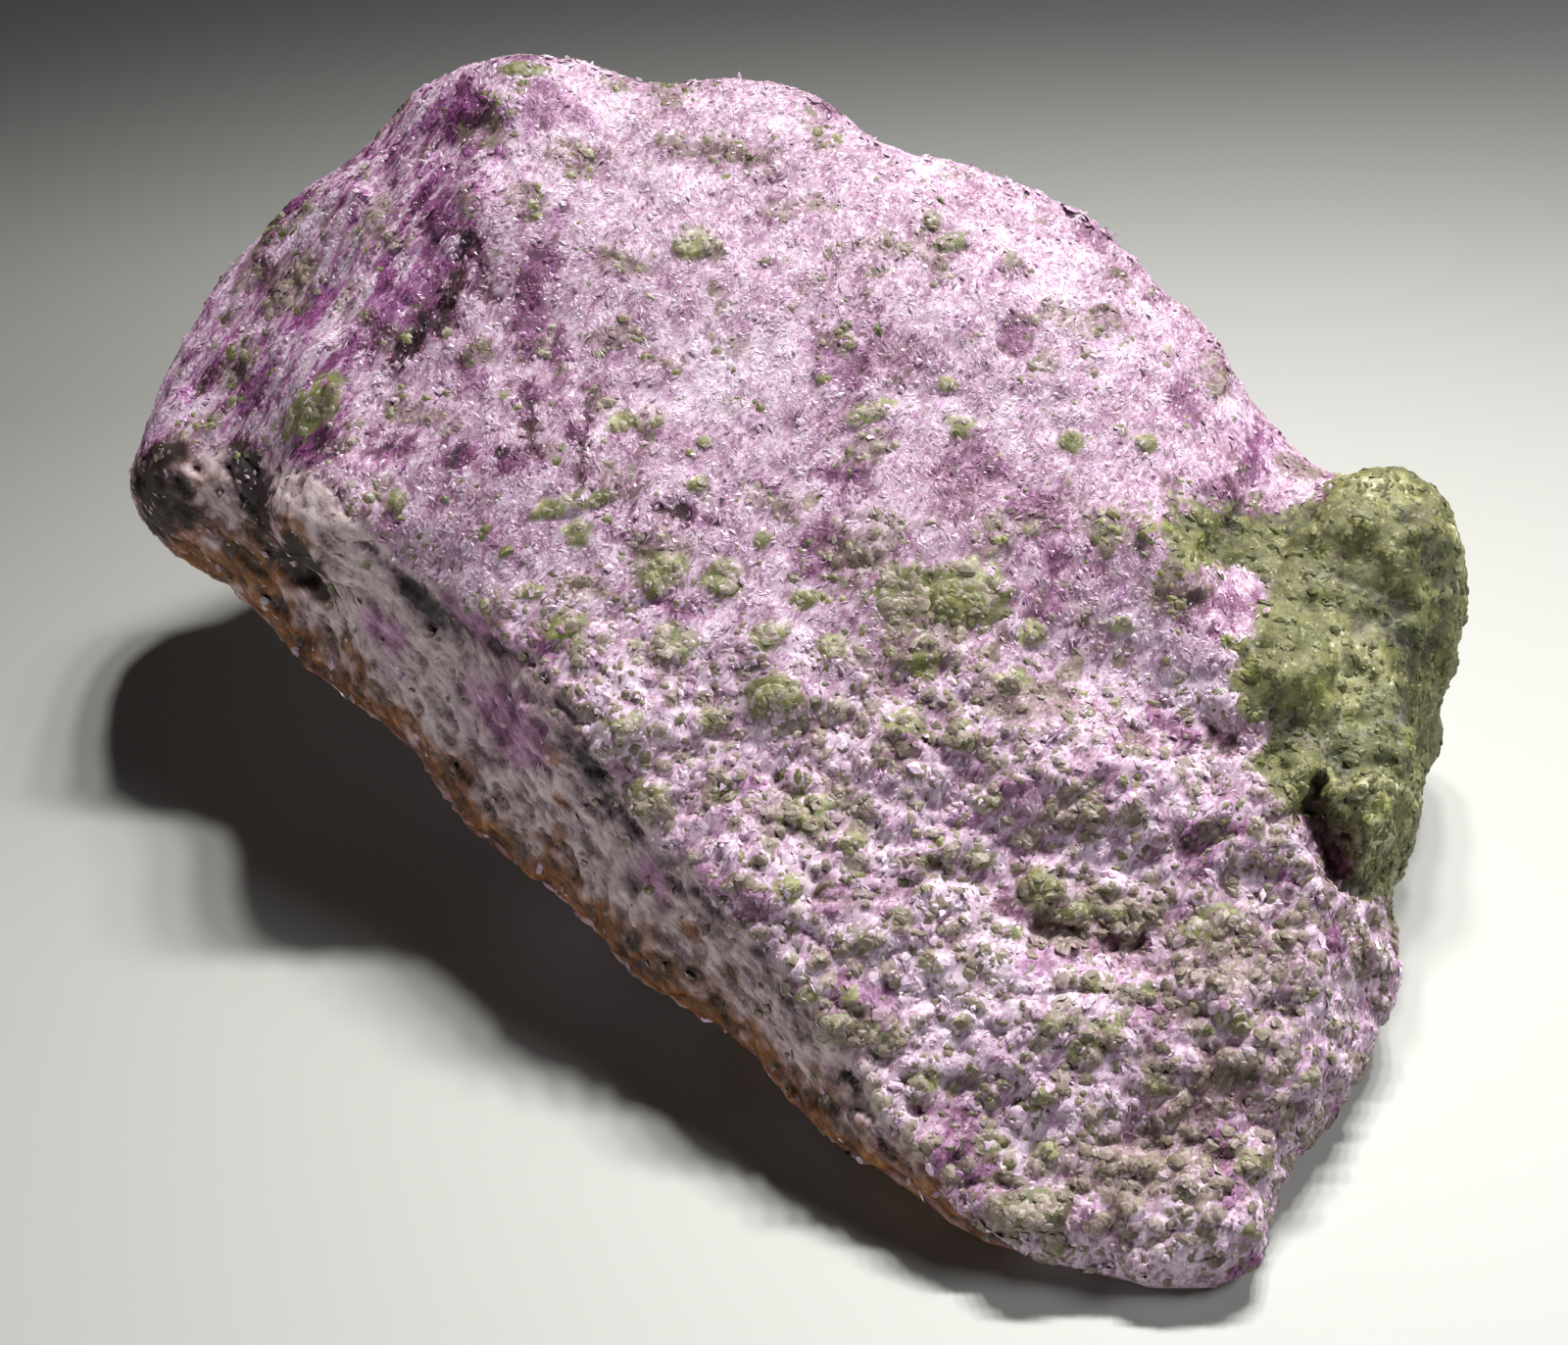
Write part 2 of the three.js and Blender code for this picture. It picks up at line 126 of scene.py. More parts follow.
def line_distance(seen, points, closed=False):
    """How far each seen place is from a line through points."""
    nearest = np.full(len(seen), np.inf)
    ends = points[1:] + points[:1] if closed else points[1:]
    for a, b in zip(np.array(points, float), np.array(ends, float)):
        share = np.clip((seen - a) @ (b - a) / ((b - a) @ (b - a)), 0, 1)
        nearest = np.minimum(nearest, np.linalg.norm(seen - a - share[:, None] * (b - a), axis=1))
    return nearest


def granules(places, size):
    """Grains packed side by side: 0 between them to 1 in the middle, and a chance value for each grain."""
    edges, chances = [], []
    for place in (places / size).tolist():
        distances, points = noise.voronoi(place)
        edges.append(distances[1] - distances[0])
        chances.append(SCRAMBLING_SCALE * math.sin(points[0].dot(SCRAMBLING_WAY)) % 1)
    return fade(np.array(edges), 0.02, 0.4), np.array(chances)


def within_outline(seen, outline):
    """How far each seen place is inside an outline, less than 0 outside it."""
    inside = np.zeros(len(seen), bool)
    for (ax, ay), (bx, by) in zip(outline, outline[1:] + outline[:1]):
        if ay == by:
            continue
        crossed = (ay > seen[:, 1]) != (by > seen[:, 1])
        inside ^= crossed & (seen[:, 0] < ax + (seen[:, 1] - ay) * (bx - ax) / (by - ay))
    return np.where(inside, 1, -1) * line_distance(seen, outline, closed=True)


# %% [markdown]
# ## What the rock is made of
#
# The specimen is a patchwork. Serpentine makes the olive horn at the right end and the nodules.
# Stichtite makes the rest: pale lilac on the broad face, deep purple on the left flank. Beyond the
# ridge the rock is an older surface, grey and pitted, with an ochre rim and a dark left tip.
# A painted image could hold all this, but it would only fit one view. Named outlines and spots with
# noise at their edges fit the solid itself, and noise alone goes on round the back.

# %% Named places on the stone
HORN_OUTLINE = [
    (29.5, 11.6), (32.5, 11.2), (36.0, 12.2), (39.0, 15.0), (48.0, 15.0), (50.0, 0.0), (46.0, -10.0),
    (43.5, -20.0), (41.3, -18.5), (40.2, -15.4), (38.2, -14.6), (36.8, -12.0), (35.0, -9.4),
    (32.2, -8.0), (31.4, -5.8), (31.9, -4.4), (30.6, -2.6), (29.8, -0.4), (30.1, 2.2), (31.7, 4.0),
    (32.2, 6.4), (30.4, 6.8), (27.8, 6.6), (25.4, 7.4), (24.2, 9.0), (25.4, 10.8), (27.4, 11.4),
]
FLANK_OUTLINE = [
    (-50.0, 12.5), (-38.0, 15.5), (-31.0, 14.2), (-28.0, 17.5), (-24.0, 21.5), (-20.8, 27.0),
    (-19.2, 33.0), (-19.0, 38.0), (-27.0, 43.0), (-50.0, 30.0),
]
RIDGE_LINE = [
    (-50.0, 12.5), (-38.0, 15.5), (-31.0, 14.0), (-26.2, 8.3), (-15.7, 0.4), (-9.8, -9.4), (0.0, -19.3),
    (12.1, -36.4), (20.0, -41.0), (34.0, -42.0),
]
LOWER_RIM = [(-40.6, 7.6), (-37.0, 4.5), (-30.4, -1.0), (-20.0, -11.5), (-11.0, -19.0), (-2.9, -26.2),
             (4.6, -33.0), (14.0, -38.5)]
# Spots are (x, y, half length, half width, turn in degrees), as seen.
PURPLE_SPOTS = [
    (-21.0, 35.0, 3.0, 1.5, 75), (-23.4, 31.6, 3.4, 1.7, 75), (-24.2, 27.6, 3.4, 2.0, 75),
    (-26.8, 24.2, 3.6, 1.8, 50), (-30.0, 20.8, 2.6, 1.1, 45), (-35.4, 18.8, 2.8, 1.2, 50),
    (-26.5, 14.8, 2.0, 1.3, 30), (-22.0, 14.4, 1.6, 1.1, 0), (-31.0, 15.0, 1.4, 0.9, 40),
    (-16.4, 26.9, 1.6, 1.0, 20), (-17.4, 18.8, 1.4, 1.2, 0), (-14.3, 16.2, 1.2, 0.9, 0),
    (-18.6, 14.3, 1.8, 1.2, 0), (-6.4, 10.6, 1.8, 0.9, -30), (-7.0, 4.3, 1.8, 0.8, -10),
    (3.6, 13.2, 2.4, 1.0, 10), (-0.4, 12.6, 1.6, 0.8, 0), (1.3, 8.8, 1.6, 0.7, 0),
    (30.0, 4.7, 2.9, 1.4, 30), (11.5, -30.6, 1.7, 0.9, 80), (12.0, -34.0, 1.9, 0.9, 80),
    (30.6, -39.7, 1.6, 1.1, 0), (31.4, 14.6, 3.0, 1.2, 70), (26.0, -3.4, 2.8, 0.8, -35),
    (33.4, -13.6, 2.0, 1.0, -40), (37.6, -18.0, 2.4, 1.0, -50), (-17.2, 31.0, 2.6, 1.2, 80),
    (-15.2, 21.5, 2.4, 0.8, 80), (-16.6, 25.5, 6.0, 1.6, 85), (-23.5, 25.5, 5.0, 2.4, 70),
]
PALE_SPOTS = [
    (-31.0, 23.0, 8.0, 3.4, 52), (-11.8, 16.8, 2.8, 1.6, 60), (-5.0, 18.4, 6.5, 2.6, 10),
    (-18.2, 11.4, 2.8, 1.4, 20), (-13.0, 5.1, 1.8, 1.2, 0), (-10.6, -0.7, 1.9, 1.2, 0),
    (5.4, 9.6, 3.0, 1.6, -20), (16.2, 2.4, 2.6, 1.3, -35), (-1.0, 21.0, 7.0, 4.0, 10),
    (19.0, 24.0, 5.0, 2.4, -35), (-14.0, 37.5, 6.0, 3.0, 10), (6.0, -30.5, 1.4, 1.0, 0),
    (12.0, -21.5, 10.0, 6.0, 15), (2.5, -15.5, 5.0, 2.6, -45), (27.0, -1.0, 4.0, 3.0, 0),
    # The two spots below lighten the horn's lump and its lower end; on the lump this is painted light.
    (38.8, -10.0, 3.6, 5.0, 0), (38.5, -20.0, 3.0, 3.0, 0),
]
GREY_SPOTS = [
    (27.2, 8.6, 4.6, 2.6, -30), (-13.2, 5.4, 3.0, 1.6, 0), (10.0, 3.0, 7.0, 5.0, 0), (5.0, 8.0, 5.0, 3.0, 0),
    (33.4, -8.4, 2.8, 2.0, -30), (15.0, -2.0, 5.0, 3.0, 0), (22.0, -16.6, 8.0, 3.0, -5),
    (5.0, -25.0, 4.0, 2.6, 0), (17.0, -36.4, 6.0, 2.8, 15), (2.0, -9.6, 5.0, 2.2, 10),
    (28.0, -28.0, 6.0, 5.0, 0), (30.0, -19.0, 7.0, 4.5, -20), (23.0, -33.5, 6.5, 4.5, 0),
    (26.5, 6.0, 3.4, 3.0, 0), (-3.5, 34.8, 4.0, 2.0, 0), (-33.0, 26.0, 3.4, 1.5, 55),
    (-27.5, 30.5, 3.4, 1.3, 60), (-36.5, 20.5, 2.6, 1.2, 50),
]
VIOLET_SPOTS = [(-18.8, -3.6, 5.2, 2.6, -50), (-20.4, 3.2, 4.2, 1.7, -40), (-9.0, -14.0, 3.0, 1.0, -55),
                (-27.0, 2.6, 2.6, 1.4, -40), (-24.6, 7.6, 3.0, 1.0, -40)]
OCHRE_SPOTS = [
    (-42.0, 11.0, 5.0, 5.0, 0), (-35.5, 7.0, 6.5, 4.5, -50), (-15.9, -5.6, 1.3, 0.8, -50),
    (-15.2, -8.9, 0.9, 0.6, -40),
    (-6.5, -17.6, 1.5, 0.6, -50), (-3.6, -20.5, 1.1, 0.6, -50), (-3.6, -24.0, 2.2, 0.8, -45),
]
DARK_SPOTS = [
    (-42.0, 12.0, 3.6, 4.0, 0), (-35.6, 12.6, 4.4, 1.5, -75), (-32.6, 7.0, 3.4, 1.4, -45),
    (-38.8, 19.6, 1.8, 0.9, 55), (-22.0, 26.0, 5.0, 1.0, 75), (-25.0, 22.0, 3.0, 1.0, 55),
    (-24.4, 4.6, 3.0, 1.0, -45), (27.6, 5.0, 1.5, 0.7, 20),
]
SOCKET_LINE = [(35.9, -7.2), (35.7, -8.7), (36.0, -11.2), (37.0, -13.2), (39.1, -14.6)]
CRACKS = [
    [(-17.3, 18.3), (-16.7, 14.6)], [(-13.0, 17.7), (-13.8, 13.1)], [(-8.5, 11.1), (-4.7, 9.9)],
    [(-4.0, -6.0), (-2.4, -9.1)], [(5.1, -8.9), (7.3, -11.7)], [(22.0, -2.8), (24.9, -4.9)],
    [(27.5, -2.7), (29.7, -4.9)], [(14.6, -15.4), (19.6, -18.1), (24.1, -18.4)],
    [(-20.9, 29.6), (-19.6, 25.0)], [(30.2, 11.0), (33.0, 10.4), (36.2, 11.8)],
    [(41.1, -5.9), (38.4, -6.4), (35.9, -6.9)],
]
# Nodules of serpentine are (x, y, length, width, turn in degrees), as seen.
NODULES = [
    (-31.6, 17.6, 6.0, 2.4, 45), (-6.2, 28.6, 2.6, 1.8, 10), (11.2, 28.8, 2.4, 1.2, 0),
    (5.6, 17.3, 3.4, 1.4, 25), (-10.8, 16.8, 2.2, 1.3, 30), (11.8, 16.4, 2.0, 1.4, -20),
    (19.3, 15.5, 1.7, 1.5, 0), (24.4, 15.4, 1.5, 1.3, 0), (-13.8, 9.2, 2.2, 1.7, 30),
    (-8.2, 6.6, 3.2, 2.6, 20),
    (-4.0, 6.3, 3.0, 2.4, -10), (-7.5, 2.0, 3.0, 2.5, 0), (8.0, 5.0, 4.0, 4.6, 0), (12.2, 5.4, 5.2, 4.2, -15),
    (-1.0, 2.4, 2.6, 1.8, 15), (-0.7, -1.6, 3.7, 3.0, 0), (-14.5, 2.8, 3.0, 2.4, -40),
    (-10.8, -3.5, 2.8, 2.2, 0), (-9.2, -8.5, 2.8, 2.4, -30), (8.2, -3.5, 2.6, 2.0, -20),
    (11.8, -4.5, 2.6, 2.0, 10), (16.6, 2.6, 2.0, 1.6, 0), (1.6, -9.4, 3.3, 2.4, 10),
    (17.2, -14.7, 3.6, 2.6, -30), (23.0, -16.7, 3.0, 2.4, -10), (28.5, -16.6, 3.4, 2.6, 20),
    (20.3, -25.2, 2.4, 2.2, 0), (3.3, -23.9, 3.0, 2.4, 0), (9.2, -27.6, 2.4, 1.9, 20),
    (16.4, -36.0, 5.2, 2.8, 15), (17.4, -28.4, 1.7, 1.5, 0), (21.0, -20.8, 2.0, 1.5, -10),
    (31.5, -32.8, 2.7, 2.0, 15), (-15.0, 11.2, 4.2, 1.2, 20), (-17.2, 5.4, 2.0, 1.2, 0),
    (3.2, 1.8, 2.0, 1.7, 0), (9.2, 0.4, 2.3, 1.9, -15), (-4.9, -3.2, 2.3, 1.8, 0), (15.4, -0.4, 2.0, 1.6, 20),
    (4.6, -11.4, 2.0, 1.6, 0), (6.8, -24.6, 2.6, 2.0, 0), (35.3, -27.2, 1.6, 1.3, 0),
    (26.8, -34.6, 1.6, 1.4, 0), (5.8, -17.9, 2.0, 1.5, 0), (24.4, 9.7, 1.5, 1.2, 0),
    # lesser ones, that only this lesson adds
    (-17.4, 40.4, 3.6, 0.9, 0), (10.9, 19.3, 1.4, 1.0, 0), (-26.0, 11.5, 1.5, 1.2, 60),
    (19.7, -16.0, 2.6, 2.0, 0), (1.5, -21.6, 1.6, 1.3, 0), (4.2, -21.6, 1.5, 1.2, 0),
    (6.5, -28.8, 1.6, 1.2, 0), (7.8, -16.3, 1.1, 0.9, 0), (12.0, -23.3, 1.3, 1.1, 0),
    (14.0, -31.5, 2.4, 1.8, 0), (15.2, -17.3, 1.6, 1.0, 0), (17.8, -23.7, 1.8, 1.4, 0),
    (21.8, -23.5, 1.8, 1.4, 0), (24.3, -21.5, 1.6, 1.3, 0), (18.8, -38.7, 1.6, 1.2, 0),
    (31.3, -37.3, 1.6, 1.2, 0), (37.0, -23.5, 1.1, 0.9, 0), (39.3, -18.5, 1.5, 1.1, 0),
    (17.8, -32.0, 1.3, 1.1, 0), (20.5, -31.0, 1.5, 1.2, 0), (-1.4, 8.9, 1.6, 1.2, 20),
    (-5.8, 12.6, 1.4, 1.0, 0), (-12.6, 11.6, 2.4, 0.9, 30), (1.4, 5.0, 1.8, 1.4, 0),
    (13.6, -8.8, 1.8, 1.4, 0), (-4.0, -8.0, 1.8, 1.4, 0), (0.4, -14.4, 2.0, 1.6, 0),
    (9.8, -19.4, 1.8, 1.4, 0), (24.8, -27.6, 1.8, 1.5, 0), (30.6, -23.6, 1.8, 1.4, 0),
    (13.0, -12.4, 2.2, 1.4, 0), (20.6, -9.0, 2.0, 1.5, 0), (22.6, 3.2, 1.6, 1.2, 0),
]
NODULE_SPOTS = [(x, y, 0.6 * length, 0.6 * width, turn) for x, y, length, width, turn in NODULES]


# %% Shares of each kind of rock
BROAD_BEARING, FLANK_BEARING, RIDGE_BEARING, LEDGE_BEARING = 70, 53, -49, 12
GRANULE_SIZE = 1.4
# Patches named by spots: how ragged the edge is, and between which values the share rises.
PATCHES = {
    "pale": (PALE_SPOTS, 0.6, -0.1, 0.8),
    "grey": (GREY_SPOTS, 0.9, 0.0, 0.7),
    "violet": (VIOLET_SPOTS, 0.5, 0.0, 0.6),
    "dark": (DARK_SPOTS, 0.6, 0.0, 0.6),
    "nodule": (NODULE_SPOTS, 0.3, 0.0, 0.45),
}


def beyond_ridge(seen):
    """How far a seen place lies below the ridge, on the weathered side."""
    ridge_height = np.interp(seen[:, 0], *np.array(RIDGE_LINE).T)
    return np.where(seen[:, 1] < ridge_height, 1, -1) * line_distance(seen, RIDGE_LINE)


def kinds_of_rock(places, normals):
    """The share of each kind of rock at each place, from 0 to 1."""
    seen = as_seen(places)
    shown = fade(facing_camera(places, normals), -0.1, 0.15)
    hidden = 1 - shown
    underneath = fade(-normals[:, 2], 0.2, 0.6)
    below_ridge = beyond_ridge(seen)
    ragged = 0.7 * waver(places, 2.4) + 0.5 * waver(places, 0.9)
    blotches = waver(places, 5.0, 7.0)
    kinds = {}
    for name, (spots, raggedness, low, high) in PATCHES.items():
        kinds[name] = shown * fade(near_spots(seen, spots) + raggedness * ragged, low, high)
    kinds["horn"] = fade(within_outline(seen, HORN_OUTLINE) + 1.6 * ragged, -0.2, 0.6)
    kinds["flank"] = shown * fade(within_outline(seen, FLANK_OUTLINE) + 2 * ragged, -0.8, 0.8)
    old_behind = np.maximum(underneath, fade(waver(places, 11.0, 3.0), 0.1, 0.3))
    kinds["weathered"] = shown * fade(below_ridge + 0.9 * ragged, -0.1, 0.9) + hidden * old_behind

    streaks = waver(stretched(places, BROAD_BEARING, 2.6, 0.6), 1.0, 13.0)
    purple = fade(near_spots(seen, PURPLE_SPOTS) + 0.8 * ragged + 0.9 * streaks, 0.0, 0.6)
    purple_blotches = fade(blotches + 0.5 * ragged, 0.3, 0.55) * (0.6 + 0.4 * kinds["flank"])
    kinds["purple"] = np.maximum(0.85 * shown * purple, purple_blotches)
    kinds["pale"] = np.maximum(kinds["pale"], 0.7 * fade(-blotches + 0.6 * ragged, 0.25, 0.5))
    grey_noise = fade(waver(places, 3.2, 11.0) + 0.5 * ragged, 0.22, 0.5)
    kinds["grey"] = np.maximum(kinds["grey"], 0.8 * grey_noise)
    rim = 1 - line_distance(seen, LOWER_RIM) / 3.4
    ochre = fade(np.maximum(near_spots(seen, OCHRE_SPOTS), rim) + 0.8 * ragged, 0.0, 0.7)
    ochre_noise = fade(waver(places, 6.0, 17.0) + 0.4 * ragged, 0.05, 0.35)
    kinds["ochre"] = np.maximum(shown * ochre, underneath * ochre_noise)

    kinds["rough"] = fade(8.0 - seen[:, 1] - 0.15 * seen[:, 0] + 6 * blotches, 0.0, 12.0)
    kinds["socket"] = shown * (1 - fade(line_distance(seen, SOCKET_LINE) + 0.4 * ragged, 0.2, 0.9))
    from_crack = np.min([line_distance(seen, line) for line in CRACKS], axis=0)
    cracked = 0.6 * shown * (1 - fade(from_crack + 1.2 * ragged, 0.1, 0.5))
    kinds["crack"] = np.maximum(kinds["socket"], cracked)
    # A ragged band just below the ridge gets a painted shadow in the dark share.
    from_painted_shadow_band = np.abs(below_ridge - 1.3) + 1.2 * ragged + 0.08 * np.abs(seen[:, 0] + 14)
    kinds["dark"] = np.max([
        kinds["dark"],
        0.5 * hidden * fade(waver(places, 4.0, 23.0) + 0.5 * ragged, 0.25, 0.6),
        0.6 * shown * (1 - fade(from_painted_shadow_band, 0.3, 1.6)),
        # Painted shade darkens the cracks, and less the socket, whose depth already shades it.
        0.8 * kinds["crack"] - 0.3 * kinds["socket"],
    ], axis=0)

    edges, kind_of_granule = granules(places + 0.5 * waver(places, 1.6, 67.0)[:, None], GRANULE_SIZE)
    browner = 0.34 * kinds["rough"] + 0.4 * kinds["grey"] + 0.03 - 0.3 * kinds["pale"]
    kinds["granule"] = edges
    kinds["brown"] = fade(browner - kind_of_granule, -0.03, 0.03) * edges
    return kinds


# %% [markdown]
# ## The stone's skin
#
# The CAD solid has facets of about 2 mm. Real broken stichtite has none: it is torn into ledges and
# matted streaks, the old side is full of drawn-out pits, and the horn is a mass of worn granules.
# A bump map could fake that, but the rim and the shadows would stay smooth. So the solid is copied
# and given an even net of small faces, finer where the stone is seen. The net is smoothed, most of
# all on the upper broad face, where facets would show as steps. Then each vertex is moved along its
# normal by noise that suits the kind of rock that it belongs to.

# %% An even net over the stone
NET_SIZE = 0.73
SMOOTHING_ROUNDS = 2
CALM_MARGINS, CALM_ROUNDS = (0.8, 2.0, 3.5), 60
REFINE_FROM = 0.06


def vertex_places(mesh):
    found = np.empty(len(mesh.vertices) * 3)
    mesh.vertices.foreach_get("co", found)
    return found.reshape(-1, 3) / MM


def vertex_normals(mesh):
    found = np.empty(len(mesh.vertices) * 3)
    mesh.vertex_normals.foreach_get("vector", found)
    return found.reshape(-1, 3)


def smoothed(net, vertices):
    """Moves each vertex half way to the middle of its neighbours."""
    bmesh.ops.smooth_vert(net, verts=vertices, factor=0.5, use_axis_x=True, use_axis_y=True, use_axis_z=True)


def calm_face(net, margin):
    """The vertices of the upper broad face, which is nearly even, from a margin in mm inside its edges."""
    places = np.array([vertex.co[:] for vertex in net.verts]) / MM
    normals = np.array([vertex.normal[:] for vertex in net.verts])
    seen = as_seen(places)
    calm = (facing_camera(places, normals) > 0.3) & (seen[:, 1] > margin) & (beyond_ridge(seen) < -margin)
    calm &= within_outline(seen, HORN_OUTLINE) < -margin
    calm &= within_outline(seen, FLANK_OUTLINE) < -margin
    return [vertex for vertex, is_calm in zip(net.verts, calm) if is_calm]


def even_net(source):
    """The source's shape as an even net, split once more where it faces the camera."""
    rough_copy = bpy.data.objects.new("rough_copy", source.data.copy())
    bpy.context.scene.collection.objects.link(rough_copy)
    remesh = rough_copy.modifiers.new("even_faces", "REMESH")
    remesh.mode = "VOXEL"
    remesh.voxel_size = NET_SIZE * MM
    graph = bpy.context.evaluated_depsgraph_get()
    mesh = bpy.data.meshes.new_from_object(rough_copy.evaluated_get(graph))
    bpy.data.objects.remove(rough_copy)
    net = bmesh.new()
    net.from_mesh(mesh)
    for _ in range(SMOOTHING_ROUNDS):
        smoothed(net, net.verts)
    for margin in CALM_MARGINS:
        calm = calm_face(net, margin)
        for _ in range(CALM_ROUNDS):
            smoothed(net, calm)
    camera = Vector(CAMERA_PLACE * MM)
    seen_edges = set()
    for face in net.faces:
        if face.normal.dot((camera - face.calc_center_median()).normalized()) > REFINE_FROM:
            seen_edges.update(face.edges)
    bmesh.ops.subdivide_edges(net, edges=list(seen_edges), cuts=1, use_grid_fill=True)
    for _ in range(SMOOTHING_ROUNDS):
        smoothed(net, net.verts)
    net.to_mesh(mesh)
    net.free()
    mesh.name = "stone_skin"
    mesh.materials.clear()
    return mesh


def triangle_count(mesh):
    return sum(len(face.vertices) - 2 for face in mesh.polygons)


skin = even_net(stone_node)
print("skin:", len(skin.vertices), "vertices,", triangle_count(skin), "triangles")

# %% Relief of each kind of rock
def relief(places, kinds):
    """How far the skin stands out, in mm, before it is evened about zero."""
    swell = (0.1 + 0.3 * kinds["rough"]) * waver(places, 6.0, 31.0)
    swell += (0.14 + 0.06 * kinds["rough"]) * waver(places, 2.6, 37.0)
    grain = waver(places, 1.1, 41.0)
    ledges = 0.42 * fade(waver(stretched(places, LEDGE_BEARING, 5.0, 2.6), 1.0), -0.05, 0.07)
    ledges += 0.26 * fade(waver(stretched(places, LEDGE_BEARING - 25, 3.2, 1.6), 1.0, 5.0), -0.05, 0.08)
    broad = 0.16 * waver(stretched(places, BROAD_BEARING, 3.4, 0.8), 1.0) + 0.14 * grain
    flank = 0.34 * waver(stretched(places, FLANK_BEARING, 7.0, 1.3), 1.0) + 0.18 * grain
    flank += 0.24 * waver(stretched(places, FLANK_BEARING, 3.0, 0.9), 1.0, 9.0)
    pits = fade(waver(stretched(places, RIDGE_BEARING, 2.4, 0.95), 1.0, 3.0), 0.1, 0.36)
    old = 0.12 * grain - 0.4 * pits
    total = swell + broad * (1 - kinds["flank"]) + flank * kinds["flank"]
    total += kinds["rough"] * (0.75 * ledges - 0.2 + 0.15 * grain)
    total += kinds["weathered"] * (old - 0.8 * broad - 0.75 * kinds["rough"] * ledges)
    lumps = 0.8 * waver(places, 3.4, 43.0) + 0.3 * waver(places, 1.5, 47.0) + 0.12 * kinds["granule"]
    total += kinds["horn"] * (lumps - 0.6 * kinds["rough"] * ledges)
    granular = np.maximum(kinds["rough"], kinds["grey"])
    granular = granular * (1 - kinds["horn"]) * (1 - 0.7 * kinds["weathered"])
    total += granular * (0.12 * kinds["granule"] + 0.12 * kinds["brown"])
    total += 0.22 * kinds["nodule"] * (1 - kinds["horn"])
    return total - 0.25 * kinds["crack"] - 0.9 * kinds["socket"]


def flat_share(places):
    """1 on the flat underside that the stone rests on, 0 from 2 mm up."""
    return 1 - fade(places[:, 2], 0.1, 2.0)


# On average the skin lies this far inside the solid, which leaves room for the loose matter on it.
SET_BACK = 0.12
skin_places, skin_normals = vertex_places(skin), vertex_normals(skin)
skin_kinds = kinds_of_rock(skin_places, skin_normals)
height = relief(skin_places, skin_kinds) * (1 - flat_share(skin_places))
height -= height.mean() + SET_BACK
skin_places += skin_normals * height[:, None] * (1 - flat_share(skin_places))[:, None]
skin_places = np.clip(skin_places, box_low, box_high)
skin.vertices.foreach_set("co", (skin_places * MM).ravel())
skin.update()
for face in skin.polygons:
    face.use_smooth = True
print("relief from", height.min().round(2), "to", height.max().round(2), "mm")

# %% [markdown]
# ## Carrying the kinds of rock on the meshes
#
# A finish has to know which kind of rock it is on. The shares are worked out once for each vertex
# and kept on the mesh as named attributes, three shares to an attribute. The finish reads them, adds
# its own finer noise and mixes its colours by them. The loose fibres and grains carry the shares of
# the skin under them, so they match it.

# %% Attributes
ATTRIBUTES = {
    "minerals": ("horn", "weathered", "purple"),
    "tones": ("pale", "ochre", "dark"),
    "tints": ("grey", "violet", "flank"),
    "build": ("rough", "brown", "rim"),
    "lie": ("hollow", "green", "chance"),
}


def keep_shares(mesh, shares):
    """Writes the named shares on the mesh's vertices."""
    for attribute, names in ATTRIBUTES.items():
        layer = mesh.attributes.new(attribute, "FLOAT_VECTOR", "POINT")
        layer.data.foreach_set("vector", np.stack([shares[name] for name in names], axis=1).ravel())


# %% [markdown]
# ## Where the nodules stain the skin
#
# A nodule's olive also shows in the skin round it. So the skin that is seen where a nodule is seen
# gets a green share, and noise gives one to the skin round the back. A ray from the camera's place
# finds the skin under a seen place.

# %% Finding the skin under a seen place
skin_tree = bvhtree.BVHTree.FromPolygons(
    [Vector(place) for place in skin_places], [list(face.vertices) for face in skin.polygons])


def on_skin(x, y):
    """The place and the normal of the skin that is seen at x, y, or None beside the stone."""
    target = SIGHT_CENTRE + x * RIGHT + y * UP
    place, normal, _, _ = skin_tree.ray_cast(Vector(CAMERA_PLACE), Vector(target - CAMERA_PLACE))
    return None if place is None else (np.array(place), np.array(normal))


# %% Green share of the skin round each nodule
skin_seen = as_seen(skin_places)
skin_shown = fade(facing_camera(skin_places, skin_normals), -0.1, 0.15)
edge_noise = waver(skin_places, 0.8, 51.0)
named_green = skin_shown * fade(near_spots(skin_seen, NODULE_SPOTS) + 0.5 * edge_noise, -0.05, 0.3)
hidden_lumps = waver(skin_places, 4.5, 57.0) + 0.3 * edge_noise
green = np.maximum(named_green, (1 - skin_shown) * fade(hidden_lumps, 0.36, 0.46))
skin_shares = {
    **skin_kinds,
    # How deep the skin lies: the tones darken deep places with painted shade, and the horn puts pale dust in
    # them.
    "hollow": fade(-height + 0.5 * waver(skin_places, 6.0, 31.0), 0.0, 0.7),
    "green": green * (1 - 0.7 * skin_kinds["weathered"]),
    "chance": 0.5 + waver(skin_places, 1.6, 61.0),
    "rim": np.zeros(len(skin_places)),
}
keep_shares(skin, skin_shares)
stone = bpy.data.objects.new("stichtite_skin", skin)
bpy.context.scene.collection.objects.link(stone)

# %% [markdown]
# ## Grains of serpentine
#
# Thousands of flat grains of 0.4 to 1.4 mm lie on the horn and on the lower half of the broad face,
# and a few everywhere else. A round pebble of 12 corners is the pattern. Each grain is a copy of it
# with its own size, turn and dents, sunk a little into the skin, and all are written as one mesh.

# %% Pebbles
chance = np.random.default_rng(11)


def pebble_pattern(splits):
    """The corners and the triangles of a ball, finer with each split."""
    pattern = bmesh.new()
    bmesh.ops.create_icosphere(pattern, subdivisions=splits, radius=1.0)
    corners = np.array([corner.co[:] for corner in pattern.verts])
    faces = np.array([[corner.index for corner in face.verts] for face in pattern.faces])
    pattern.free()
    return corners, faces


def frames_on_skin(normals, ways):
    """Three axes at each place: along a way that lies in the skin, across it, and outward."""
    along = ways - (ways * normals).sum(axis=1)[:, None] * normals
    along /= np.linalg.norm(along, axis=1)[:, None]
    return np.stack([along, np.cross(normals, along), normals], axis=1)


